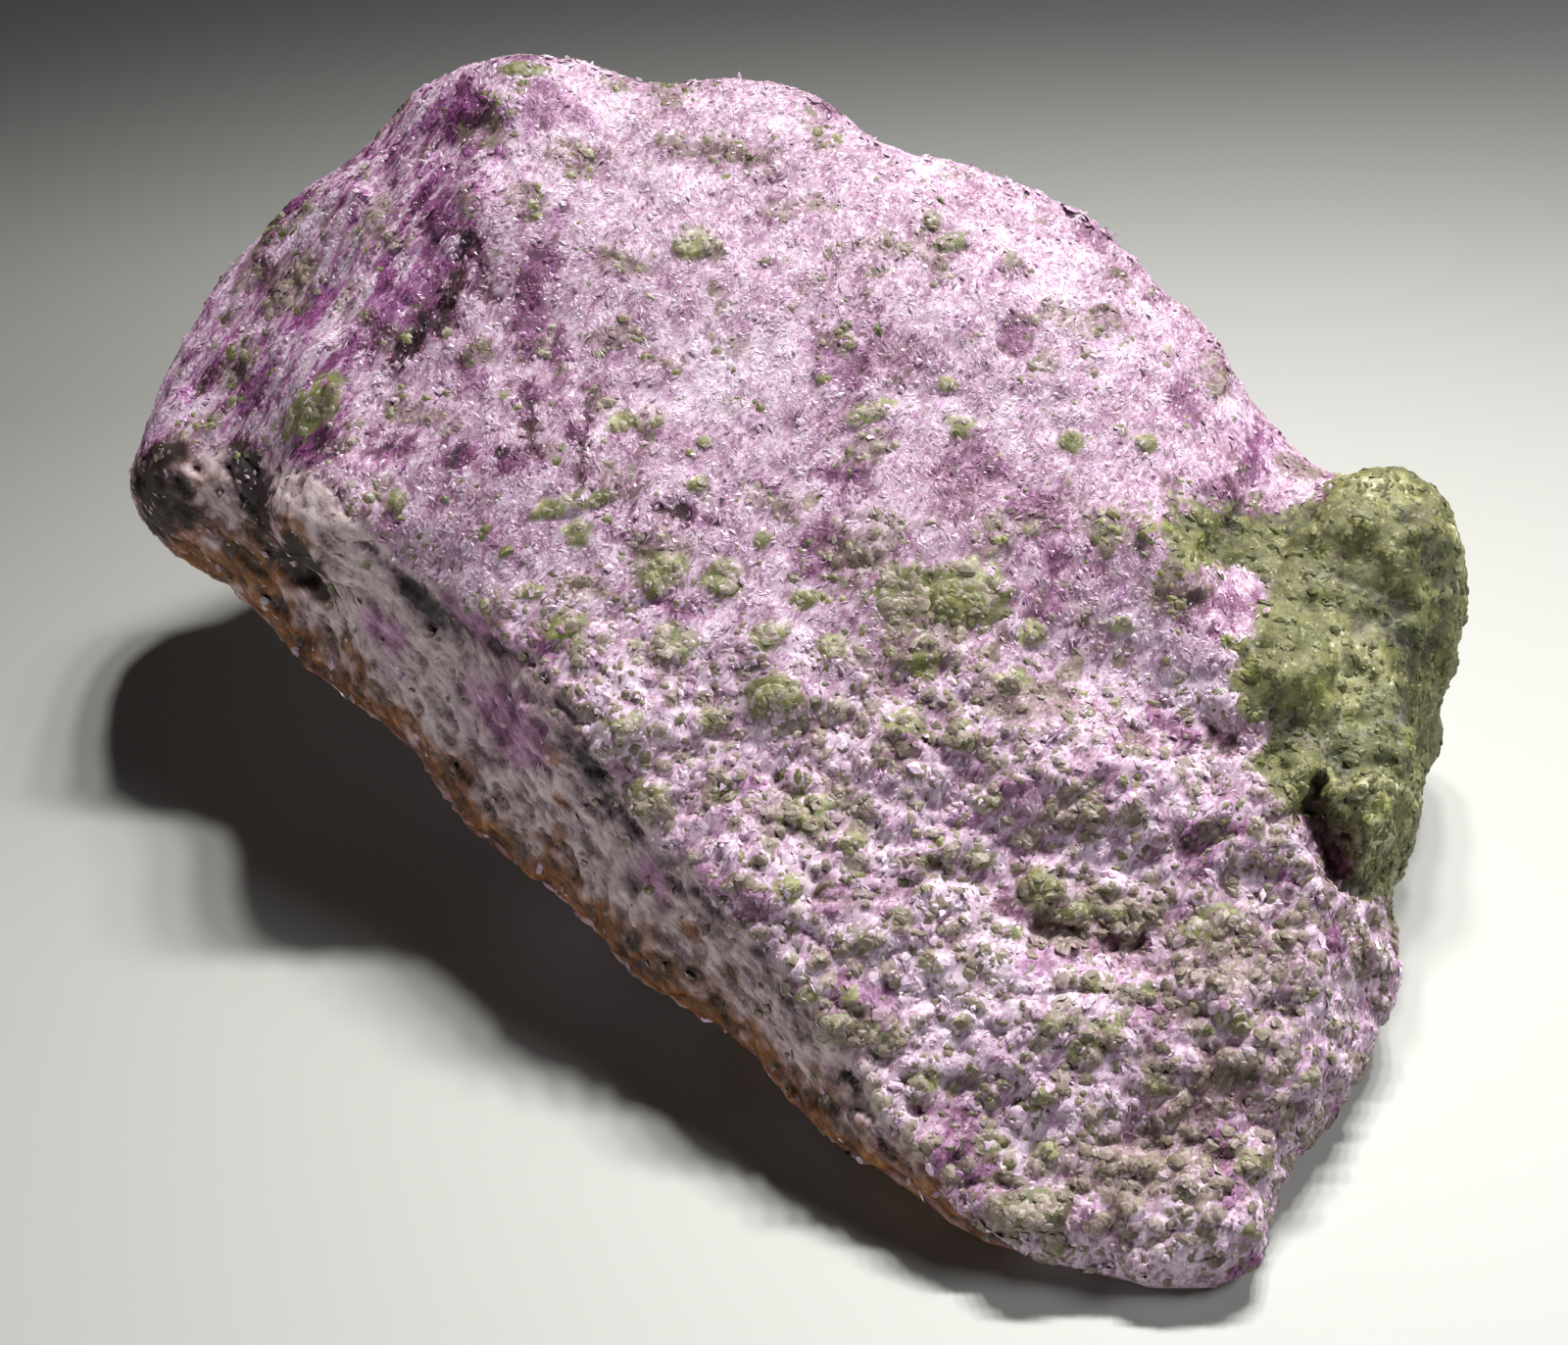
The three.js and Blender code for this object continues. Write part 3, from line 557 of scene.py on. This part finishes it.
def many_copies(name, pattern, places, frames, sizes, dents):
    """One mesh of many dented copies of a pattern, each with its own place, axes and three half sizes."""
    corners, faces = pattern
    shapes = corners[None] * (1 + dents * (chance.random((len(places), len(corners), 1)) - 0.5))
    shapes = np.einsum("nck,nkd->ncd", shapes * sizes[:, None, :], frames) + places[:, None, :]
    shapes = np.clip(shapes, box_low, box_high)
    firsts = np.arange(len(places)) * len(corners)
    mesh = bpy.data.meshes.new(name)
    mesh.from_pydata((shapes.reshape(-1, 3) * MM).tolist(), [],
                     (faces[None] + firsts[:, None, None]).reshape(-1, faces.shape[1]).tolist())
    return mesh


def share_rows(shares, rows, repeat):
    """The shares of some rows, each repeated for all the corners of its copy."""
    return {name: np.repeat(values[rows], repeat) for name, values in shares.items()}


def add_piece(mesh):
    piece = bpy.data.objects.new(mesh.name, mesh)
    bpy.context.scene.collection.objects.link(piece)
    print(mesh.name + ":", triangle_count(mesh), "triangles")
    return piece


# %% Where the loose grains sit
GRAIN_COUNT = 8000
SMALLEST_GRAIN, GRAIN_RANGE = 0.2, 0.26
GRAIN_SHAPE, GRAIN_DENTS, GRAIN_SUNK = (1.25, 1.0, 0.45), 0.5, 0.2
face_areas = np.array([face.area for face in skin.polygons])
face_corner = np.array([face.vertices[0] for face in skin.polygons])
final_normals = vertex_normals(skin)


def scatter(count, liking):
    """Vertex rows of the skin, chosen by chance, by face area and by how much each vertex is liked."""
    weight = face_areas * liking[face_corner]
    return face_corner[chance.choice(len(face_areas), count, p=weight / weight.sum())]


def chance_ways(count):
    ways = chance.normal(size=(count, 3))
    return ways / np.linalg.norm(ways, axis=1)[:, None]


bare = 1 - flat_share(skin_places)
grain_liking = bare * (0.03 + skin_kinds["rough"] + 0.8 * skin_kinds["grey"] + 0.9 * skin_kinds["horn"])
grain_liking *= (0.25 + 0.75 * skin_shown) * (1 - 0.9 * skin_kinds["weathered"]) * (1 - skin_kinds["crack"])
grain_rows = scatter(GRAIN_COUNT, grain_liking)
radii = SMALLEST_GRAIN + GRAIN_RANGE * chance.random(GRAIN_COUNT) ** 2
grain_sizes = radii[:, None] * (0.75 + 0.5 * chance.random((GRAIN_COUNT, 3))) * GRAIN_SHAPE
grain_frames = frames_on_skin(final_normals[grain_rows], chance_ways(GRAIN_COUNT))
grain_places = skin_places[grain_rows] - GRAIN_SUNK * radii[:, None] * final_normals[grain_rows]
pebble = pebble_pattern(1)
grain_mesh = many_copies("serpentine_grains", pebble, grain_places, grain_frames, grain_sizes, GRAIN_DENTS)
grain_shares = share_rows(skin_shares, grain_rows, len(pebble[0]))
grain_shares["chance"] = np.repeat(chance.random(GRAIN_COUNT), len(pebble[0]))
keep_shares(grain_mesh, grain_shares)
grains = add_piece(grain_mesh)

# %% [markdown]
# ## Nodules of serpentine
#
# The largest nodules are lumps of the CAD solid already. In the rock each one is a cluster of worn
# olive granules. So every named nodule gets three or more of them, set into the skin seen there.

# %% Granules of the named nodules
GRANULES_PER_MM2, FEWEST_GRANULES = 1.8, 3
GRANULE_REACH = 0.4
GRANULE_SHAPE, GRANULE_DENTS, GRANULE_SUNK = (1.25, 1.05, 0.42), 0.3, 0.3
found = []
for x, y, length, width, turn in NODULES:
    c, s = math.cos(math.radians(turn)), math.sin(math.radians(turn))
    tone = chance.random()
    for _ in range(max(FEWEST_GRANULES, round(GRANULES_PER_MM2 * length * width))):
        reach, angle = math.sqrt(chance.random()), 2 * math.pi * chance.random()
        along = GRANULE_REACH * length * reach * math.cos(angle)
        across = GRANULE_REACH * width * reach * math.sin(angle)
        spot = on_skin(x + along * c - across * s, y + along * s + across * c)
        if spot is not None:
            radius = (0.3 + 0.11 * width * chance.random()) * (1 - 0.3 * reach)
            found.append((*spot, radius, tone))
surface_places, granule_normals, radii, tones = (np.array(column) for column in zip(*found))
granule_sizes = radii[:, None] * (0.8 + 0.5 * chance.random((len(found), 3))) * GRANULE_SHAPE
granule_frames = frames_on_skin(granule_normals, chance_ways(len(found)))
granule_places = surface_places - GRANULE_SUNK * radii[:, None] * granule_normals
ball = pebble_pattern(2)
granule_mesh = many_copies(
    "serpentine_nodules", ball, granule_places, granule_frames, granule_sizes, GRANULE_DENTS)
granule_shares = {name: np.zeros(len(granule_mesh.vertices)) for name in skin_shares}
granule_shares["rim"] = np.tile(fade(-ball[0][:, 2], -0.75, -0.3), len(found))
granule_tones = 0.75 * tones + 0.25 * chance.random(len(found))
granule_shares["chance"] = np.repeat(granule_tones, len(ball[0]))
keep_shares(granule_mesh, granule_shares)
nodules = add_piece(granule_mesh)

# %% [markdown]
# ## Fibres and flakes of stichtite
#
# Broken stichtite shows its crystals: short silky fibres and small flakes, most of them steep on the
# broad face and slanting along the flank, each catching the light in its own way. A hair system
# would look right, but it makes no solid. A spindle of six faces, long and thin for a fibre, short
# and wide for a flake, is the least solid that glints. It is sunk into the skin, so that only its
# low ridge stands out.

# %% The way that the fibres lie
def fibre_ways(rows, spread):
    """The direction of the fibres at each vertex row, before it is laid on the skin."""
    places = skin_places[rows]
    turn = BROAD_BEARING + 60 * waver(places, 8.0, 71.0) + 40 * waver(places, 2.5, 73.0)
    turn += skin_kinds["flank"][rows] * (FLANK_BEARING - BROAD_BEARING)
    turn += skin_kinds["weathered"][rows] * (RIDGE_BEARING - BROAD_BEARING)
    turn = np.radians(turn + chance.normal(0, spread, len(rows)))
    return np.cos(turn)[:, None] * RIGHT + np.sin(turn)[:, None] * UP


# %% Spindles
SPINDLE_CORNERS = np.array([[-1, 0, -0.5], [1, 0, -0.5], [0, 1, -0.4], [0, -1, -0.4], [0.1, 0, 1]], float)
SPINDLE_FACES = np.array([[0, 3, 4], [3, 1, 4], [1, 2, 4], [2, 0, 4], [0, 2, 3], [2, 1, 3]])
LIFT, ROLL = math.radians(5), math.radians(7.5)
JITTER = 0.25
SPINDLE_SUNK = 0.4
FIBRES = {"count": 24000, "length": 0.75, "slimness": 0.34, "thickness": 0.05, "spread": 22}
FLAKES = {"count": 32000, "length": 0.6, "slimness": 0.65, "thickness": 0.06, "spread": 50}


def tipped(first, second, angle):
    """Two axes turned by an angle in the plane that they span."""
    return first * np.cos(angle) + second * np.sin(angle), second * np.cos(angle) - first * np.sin(angle)


def varied(count):
    """Chance factors from 0.6 to 1.4."""
    return 0.6 + 0.8 * chance.random(count)


def spindles(name, liking, count, length, slimness, thickness, spread):
    """A mesh of fibres or flakes that lie half sunk in the skin, each a little askew."""
    rows = scatter(count, liking)
    normals = final_normals[rows]
    frames = frames_on_skin(normals, fibre_ways(rows, spread))
    lift = chance.normal(0, LIFT, count)[:, None]
    roll = chance.normal(0, ROLL, count)[:, None]
    along, across, outward = frames[:, 0], frames[:, 1], frames[:, 2]
    along, outward = tipped(along, outward, lift)
    across, outward = tipped(across, outward, roll)
    half = length * varied(count) / 2
    wide = half * slimness * varied(count)
    sizes = np.stack([half, wide, thickness * varied(count)], axis=1)
    jitter = JITTER * chance.normal(size=(count, 3))
    places = skin_places[rows] + jitter - (jitter * normals).sum(axis=1)[:, None] * normals
    places -= normals * SPINDLE_SUNK * thickness
    mesh = many_copies(name, (SPINDLE_CORNERS, SPINDLE_FACES), places,
                       np.stack([along, across, outward], axis=1), sizes, 0.0)
    shares = share_rows(skin_shares, rows, len(SPINDLE_CORNERS))
    shares["chance"] = np.repeat(chance.random(count), len(SPINDLE_CORNERS))
    keep_shares(mesh, shares)
    return mesh


lilac = bare * (1 - skin_kinds["horn"]) * (1 - 0.95 * skin_kinds["weathered"])
lilac *= 1 - 0.98 * skin_shares["green"]
lilac *= (1 - skin_kinds["crack"]) * (1 - 0.7 * skin_kinds["rough"]) * (1 - 0.95 * skin_kinds["brown"])
lilac *= 1 - 0.7 * skin_kinds["grey"]
lilac_seen = lilac * (0.3 + 0.7 * skin_shown)
fibres = add_piece(spindles("stichtite_fibres", lilac_seen, **FIBRES))
flakes = add_piece(spindles("stichtite_flakes", lilac_seen, **FLAKES))

# %% [markdown]
# ## Writing a finish
#
# A finish is a tree of nodes. Written node by node it is long and hard to read, so a small class
# holds one output socket and turns sums written with it into Math nodes. Another holds the material
# and adds every other node by its type, its settings and its sockets.

# %% Sockets that can be reckoned with
class Wire:
    """One output socket of a finish. A sum written with it adds a Math node."""

    def __init__(self, finish, socket):
        self.finish = finish
        self.socket = socket

    def reckon(self, operation, first, second):
        return self.finish.add("Math", {"operation": operation}, {0: first, 1: second})

    def __add__(self, other):
        return self.reckon("ADD", self, other)

    def __radd__(self, other):
        return self.reckon("ADD", other, self)

    def __sub__(self, other):
        return self.reckon("SUBTRACT", self, other)

    def __rsub__(self, other):
        return self.reckon("SUBTRACT", other, self)

    def __mul__(self, other):
        return self.reckon("MULTIPLY", self, other)

    def __rmul__(self, other):
        return self.reckon("MULTIPLY", other, self)


class Finish:
    """A material that is being made."""

    def __init__(self, name):
        self.material = bpy.data.materials.new(name)
        self.material.use_nodes = True
        self.tree = self.material.node_tree
        self.tree.nodes.clear()

    def add(self, kind, settings=None, sockets=None, output=0):
        """Adds a node: its settings first, then the values or links of its sockets."""
        node = self.tree.nodes.new("ShaderNode" + kind)
        for name, value in (settings or {}).items():
            if name == "stops":
                for place, _ in value[1:-1]:
                    node.color_ramp.elements.new(place)
                for element, (place, colour) in zip(node.color_ramp.elements, value):
                    element.position, element.color = place, (*colour, 1)
            else:
                setattr(node, name, value)
        for name, value in (sockets or {}).items():
            if isinstance(value, Wire):
                self.tree.links.new(value.socket, node.inputs[name])
            else:
                node.inputs[name].default_value = value
        return Wire(self, node.outputs[output])

    def measured(self, size, turn=(0, 0, 0)):
        """Places on the object counted in cells of a size in mm, turned by Euler angles."""
        places = self.add("TexCoord", output="Object")
        scale = [side * MM for side in size]
        sockets = {"Vector": places, "Rotation": turn, "Scale": scale}
        return self.add("Mapping", {"vector_type": "TEXTURE"}, sockets)

    def noise(self, size, turn=(0, 0, 0), detail=2.0, roughness=0.5):
        places = self.measured(size, turn)
        sockets = {"Vector": places, "Scale": 1.0, "Detail": detail, "Roughness": roughness}
        return self.add("TexNoise", {}, sockets)

    def lumps(self, size, detail=2.0, roughness=0.5):
        """Noise in round lumps of a size in mm."""
        return self.noise((size, size, size), detail=detail, roughness=roughness)

    def cells(self, size, turn=(0, 0, 0)):
        """A chance value for each cell of a mosaic."""
        places = self.measured(size, turn)
        mosaic = self.add("TexVoronoi", {}, {"Vector": places, "Scale": 1.0}, output="Color")
        return self.add("SeparateColor", {}, {0: mosaic})

    def fade(self, value, low, high):
        return self.add("MapRange", {"interpolation_type": "SMOOTHSTEP"},
                        {"Value": value, "From Min": low, "From Max": high})

    def ramp(self, value, stops):
        return self.add("ValToRGB", {"stops": stops}, {0: value})

    def blend(self, share, first, second):
        """A colour that goes from first to second as the share goes from 0 to 1."""
        first, second = (c if isinstance(c, Wire) else (*c, 1) for c in (first, second))
        return self.add("Mix", {"data_type": "RGBA"}, {0: share, 6: first, 7: second}, output=2)

    def shares(self):
        """The shares of rock that the mesh carries, by name."""
        found = {}
        for attribute, names in ATTRIBUTES.items():
            vector = self.add("Attribute", {"attribute_name": attribute}, output="Vector")
            for place, name in enumerate(names):
                found[name] = self.add("SeparateXYZ", {}, {0: vector}, output=place)
        return found

    def surface(self, colour, roughness, height, depth):
        """Ends the finish: a bump of some depth in mm, and one shader."""
        normal = self.add("Bump", {}, {"Height": height, "Distance": depth * MM, "Strength": 1.0})
        sockets = {"Base Color": colour, "Roughness": roughness, "Normal": normal}
        shader = self.add("BsdfPrincipled", {}, sockets)
        end = self.tree.nodes.new("ShaderNodeOutputMaterial")
        self.tree.links.new(shader.socket, end.inputs["Surface"])
        return self.material


def linear_light(level):
    """The light of one sRGB level from 0 to 255, from 0 to 1."""
    if level > 10:
        return ((level / 255 + 0.055) / 1.055) ** 2.4
    return level / 255 / 12.92


def srgb(red, green, blue):
    """A colour of 0 to 255 as the linear light that a shader wants."""
    return tuple(linear_light(level) for level in (red, green, blue))


def bearing_turn(bearing):
    """Euler angles that turn the third axis along a bearing of the sight plane."""
    along = math.cos(math.radians(bearing)) * RIGHT + math.sin(math.radians(bearing)) * UP
    return Vector(along).to_track_quat("Z", "Y").to_euler()[:]


# %% [markdown]
# ## The finish of the rock
#
# Stichtite is lilac, nearly white on the faces that glint and wine red to black between the fibres.
# Serpentine is olive, waxy and granular. The old side is grey and tan, with painted shade in its pits.
# Each gets one value from fine noise, drawn out along its grain, that runs from its darkest to its
# lightest colour. The shares on the mesh mix the three, and tint them with purple, ochre and grey.
# The darkening in hollows, in cracks and along a band below the ridge is painted shade.

# %% Colours of each kind of rock
LILAC_STOPS = [
    (0.16, srgb(64, 36, 42)), (0.32, srgb(130, 88, 110)), (0.48, srgb(172, 138, 162)),
    (0.62, srgb(200, 175, 195)), (0.78, srgb(222, 203, 219)), (1.0, srgb(246, 236, 244)),
]
PURPLE_STOPS = [
    (0.15, srgb(38, 14, 30)), (0.35, srgb(92, 36, 80)), (0.55, srgb(138, 72, 128)),
    (0.75, srgb(180, 122, 170)), (1.0, srgb(228, 192, 218)),
]
SERPENTINE_STOPS = [
    (0.15, srgb(40, 38, 20)), (0.35, srgb(78, 76, 42)), (0.52, srgb(108, 107, 64)),
    (0.68, srgb(134, 133, 86)), (0.82, srgb(160, 158, 114)), (1.0, srgb(212, 210, 182)),
]
BROWN_STOPS = [
    (0.1, srgb(58, 46, 40)), (0.34, srgb(104, 90, 78)), (0.55, srgb(141, 126, 114)),
    (0.78, srgb(180, 164, 160)), (1.0, srgb(214, 202, 200)),
]
WEATHERED_STOPS = [
    (0.14, srgb(46, 34, 36)), (0.32, srgb(126, 104, 110)), (0.5, srgb(182, 160, 164)),
    (0.7, srgb(212, 198, 196)), (1.0, srgb(240, 230, 228)),
]
OCHRE_STOPS = [
    (0.15, srgb(38, 18, 8)), (0.4, srgb(120, 72, 34)), (0.65, srgb(180, 126, 72)),
    (1.0, srgb(226, 188, 130)),
]
COOL_OLIVE, FRESH_OLIVE = srgb(96, 106, 80), srgb(150, 154, 70)
HORN_DUST, GRAIN_FROST, GRANULE_RIM = srgb(168, 156, 150), srgb(198, 188, 186), srgb(176, 166, 150)
# How much each share lightens or darkens a value. Darkening in hollows is painted shade, and so is part of
# the dark share.
MATTED_TONES = {
    "rough": 0.06, "flank": 0.06, "pale": 0.13, "purple": -0.2, "hollow": -0.2, "dark": -0.45, "grey": -0.13,
}
OLD_TONES = {"hollow": -0.25, "dark": -0.45, "ochre": -0.15}
# On the horn the pale share paints light on its lump.
HORN_TONES = {"hollow": -0.25, "pale": 0.4, "dark": -0.3}
GRAIN_TONES = {"chance": 0.26, "hollow": -0.2, "horn": -0.06}


def toned(value, tones, shares):
    """A value, lightened or darkened by the shares that tones names."""
    for name, tone in tones.items():
        value = value + tone * shares[name]
    return value


def matted_colour(finish, value, shares):
    """The broad face: lilac, with packed brown granules, pale matter between them and grey dust."""
    tide = finish.lumps(2.4, 4.0, 0.7)
    value = toned(value + 0.5 * tide - 0.28, MATTED_TONES, shares)
    purple = finish.ramp(value, PURPLE_STOPS)
    tinted = finish.noise((0.7, 0.7, 3.0), bearing_turn(BROAD_BEARING - 6), 4.0, 0.65)
    tinted = finish.fade(tinted + 0.06 * shares["flank"], 0.5, 0.68) * (0.6 + 0.4 * shares["flank"])
    colour = finish.blend(tinted, finish.ramp(value, LILAC_STOPS), purple)
    colour = finish.blend(shares["purple"] * 0.95, colour, purple)

    edging = finish.lumps(0.4, 3.0, 0.6)
    brownish = finish.fade(shares["brown"] + 0.5 * edging - 0.25, 0.15, 0.5) * 0.9
    colour = finish.blend(brownish, colour, finish.ramp(value - 0.08, BROWN_STOPS))
    dusty = finish.lumps(1.3, 4.0, 0.7)
    greyness = finish.fade(dusty + 0.3 * shares["grey"], 0.56, 0.78) * 0.55
    return finish.blend(greyness, colour, finish.ramp(value, BROWN_STOPS))


def old_colour(finish, shares):
    """The weathered side: grey, with painted shade in its pits, ochre at its rim and violet in places."""
    specks = finish.noise((0.5, 0.5, 1.2), bearing_turn(RIDGE_BEARING), 4.0, 0.72)
    value = toned(specks + 0.08, OLD_TONES, shares)
    old = finish.ramp(value, WEATHERED_STOPS)
    old = finish.blend(shares["ochre"], old, finish.ramp(value, OCHRE_STOPS))
    return finish.blend(shares["violet"] * 0.7, old, finish.ramp(value + 0.12, PURPLE_STOPS))


def serpentine_colour(finish, value):
    """Olive, cooler in some lumps and fresher in others."""
    olive = finish.ramp(value, SERPENTINE_STOPS)
    cool = finish.fade(finish.lumps(4, 3.0, 0.6), 0.5, 0.66)
    olive = finish.blend(cool * 0.35, olive, COOL_OLIVE)
    fresh = finish.fade(finish.noise((3, 3, 5)), 0.58, 0.72)
    return finish.blend(fresh * 0.4, olive, FRESH_OLIVE)


def horn_colour(finish, fine, shares):
    """Serpentine with a few painted glints, painted shade in its hollows, and pale dust in them."""
    sparkle = finish.cells((0.3, 0.3, 0.3))
    value = 0.42 * finish.lumps(1.0, 5.0, 0.75) + 0.3 * fine + 0.12 * sparkle + 0.4 * finish.lumps(3.6) - 0.1
    # The brightest cells become painted glints.
    glint = finish.fade(sparkle, 0.93, 0.97) * 0.2
    serpentine = serpentine_colour(finish, toned(value, HORN_TONES, shares) + glint)
    dust = finish.fade(finish.lumps(2.2, 5.0, 0.75) + 0.15 * shares["hollow"], 0.58, 0.72)
    return finish.blend(dust * 0.45, serpentine, HORN_DUST)


# %% The skin's finish
CRYSTAL_SIZE = (0.26, 0.26, 0.6)


def skin_finish():
    finish = Finish("stone_skin")
    shares = finish.shares()
    lean = finish.fade(finish.lumps(7, 1.0), 0.45, 0.55)
    steep = finish.cells(CRYSTAL_SIZE, bearing_turn(BROAD_BEARING - 6))
    slanting = finish.cells(CRYSTAL_SIZE, bearing_turn(FLANK_BEARING + 8))
    cells = steep * (1 - lean) + slanting * lean
    fine = finish.lumps(0.5, 5.0, 0.75)
    rock = matted_colour(finish, 0.28 * cells + 0.55 * fine + 0.14, shares)
    rock = finish.blend(shares["weathered"], rock, old_colour(finish, shares))
    olive = finish.add("Math", {"operation": "MAXIMUM"}, {0: shares["horn"], 1: shares["green"]})
    rock = finish.blend(olive, rock, horn_colour(finish, fine, shares))
    height = (0.5 * cells + 0.6 * fine) * (1 - 0.5 * shares["weathered"] + 0.8 * shares["horn"])
    roughness = 0.62 - 0.2 * cells + 0.12 * shares["weathered"]
    return finish.surface(rock, roughness, height, 0.13)


# %% The finish of fibres and flakes
def fibre_finish():
    finish = Finish("stichtite_fibre")
    shares = finish.shares()
    fine = finish.lumps(0.3, 3.0, 0.6)
    value = 0.42 + 0.1 * shares["chance"] + 0.3 * fine - 0.1 * shares["weathered"]
    colour = matted_colour(finish, value, shares)
    colour = finish.blend(shares["weathered"] * 0.8, colour, finish.ramp(value, WEATHERED_STOPS))
    return finish.surface(colour, 0.5 - 0.25 * shares["chance"], fine, 0.03)


# %% The finish of the grains
def grain_finish():
    finish = Finish("serpentine_grain")
    shares = finish.shares()
    off_horn = 1 - shares["horn"]
    body = finish.lumps(0.5, 4.0, 0.65)
    value = toned(0.14 + 0.5 * body, GRAIN_TONES, shares)
    sparkle = finish.cells((0.2, 0.2, 0.2))
    # The brightest cells become painted glints.
    colour = serpentine_colour(finish, value + finish.fade(sparkle, 0.92, 0.97) * 0.3)
    brown = finish.fade(finish.lumps(4) + 0.1 * shares["rough"], 0.42, 0.54)
    colour = finish.blend(brown * off_horn * 0.85, colour, finish.ramp(value, BROWN_STOPS))
    lilac_grain = finish.fade(shares["chance"], 0.5, 0.6) * shares["rough"] * off_horn
    colour = finish.blend(lilac_grain, colour, matted_colour(finish, value, shares))
    frost = finish.fade(finish.lumps(0.8, 4.0, 0.7), 0.52, 0.66) * 0.5
    colour = finish.blend(frost * off_horn, colour, GRAIN_FROST)
    colour = finish.blend(shares["rim"] * 0.55, colour, GRANULE_RIM)
    return finish.surface(colour, 0.42 + 0.2 * body, body, 0.06)


stone.data.materials.append(skin_finish())
fibre_material = fibre_finish()
grain_material = grain_finish()
for piece in (fibres, flakes):
    piece.data.materials.append(fibre_material)
for piece in (grains, nodules):
    piece.data.materials.append(grain_material)

# %% Joining the pieces to the frame
for piece in (stone, fibres, flakes, grains, nodules):
    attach(piece, "root")
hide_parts("stichtite_stone")

# %% [markdown]
# ## Floor, lights and camera
#
# The specimen rests on a plain pale table. The main light is a row of four lamps high up, behind the
# stone and to its right, so that the broad face is raked and the lower left edge throws a deep
# shadow with stepped edges. A faint lamp low at the left and a small one at the right fill the dark.

# %% The floor
FLOOR_HALF, FLOOR_DROP = 2.0, 0.00005
FLOOR_COLOUR = (*srgb(172, 173, 169), 1)
FLOOR_ROUGHNESS, FLOOR_BUMP = 0.55, 0.01
floor_corners = [(x * FLOOR_HALF, y * FLOOR_HALF, 0) for x, y in ((-1, -1), (1, -1), (1, 1), (-1, 1))]
floor_mesh = bpy.data.meshes.new("floor")
floor_mesh.from_pydata(floor_corners, [], [(0, 1, 2, 3)])
floor = bpy.data.objects.new("floor", floor_mesh)
floor.location.z = -FLOOR_DROP
bpy.context.scene.collection.objects.link(floor)
floor_finish = Finish("floor")
floor_mesh.materials.append(floor_finish.surface(
    FLOOR_COLOUR, FLOOR_ROUGHNESS, floor_finish.lumps(3, 3.0), FLOOR_BUMP))


# %% The lights
def shine(name, kind, place, aim, **settings):
    """Adds a light at a place, in metres, turned towards another."""
    lamp = bpy.data.lights.new(name, kind)
    for setting, value in settings.items():
        setattr(lamp, setting, value)
    light = bpy.data.objects.new(name, lamp)
    light.location = place
    light.rotation_euler = (Vector(aim) - Vector(place)).to_track_quat("-Z", "Y").to_euler()
    bpy.context.scene.collection.objects.link(light)


ROW_OF_LAMPS = (0.015, 0.06, 0.105, 0.15)
ROW_BACK, ROW_HEIGHT = 0.195, 0.345
ROW_POWER = 13.0
AIM_LEFT, AIM_FRONT = 0.055, 0.1
WARM_WHITE, COOL_WHITE = (1.0, 0.985, 0.96), (0.97, 0.985, 1.0)
for number, x in enumerate(ROW_OF_LAMPS):
    shine("key_" + str(number), "SPOT", (x, ROW_BACK, ROW_HEIGHT), (x - AIM_LEFT, -AIM_FRONT, 0.0),
          energy=ROW_POWER / len(ROW_OF_LAMPS), color=WARM_WHITE, spot_size=math.radians(57),
          spot_blend=0.95, shadow_soft_size=0.014)
shine("fill", "AREA", (-0.26, -0.25, 0.02), (-0.01, -0.02, 0.012), shape="DISK", size=0.04, energy=0.4)
shine("side", "AREA", (0.20, -0.02, 0.17), (0.02, -0.02, 0.0), shape="DISK", size=0.10, energy=0.30,
      color=COOL_WHITE)

world = bpy.data.worlds.new("studio")
world.use_nodes = True
background = world.node_tree.nodes["Background"]
background.inputs["Color"].default_value = (0.85, 0.87, 0.9, 1)
background.inputs["Strength"].default_value = 0.005
bpy.context.scene.world = world
bpy.context.scene.view_settings.view_transform = "Standard"

# %% The camera
FRAME_WIDTH = 105.0
camera_data = bpy.data.cameras.new("camera")
camera_data.lens = camera_data.sensor_width * VIEW_DISTANCE / FRAME_WIDTH
camera_data.clip_start = 0.01
camera = bpy.data.objects.new("camera", camera_data)
camera.location = CAMERA_PLACE * MM
camera.rotation_euler = (math.pi / 2 - VIEW_ELEVATION, 0, 0)
bpy.context.scene.collection.objects.link(camera)
bpy.context.scene.camera = camera
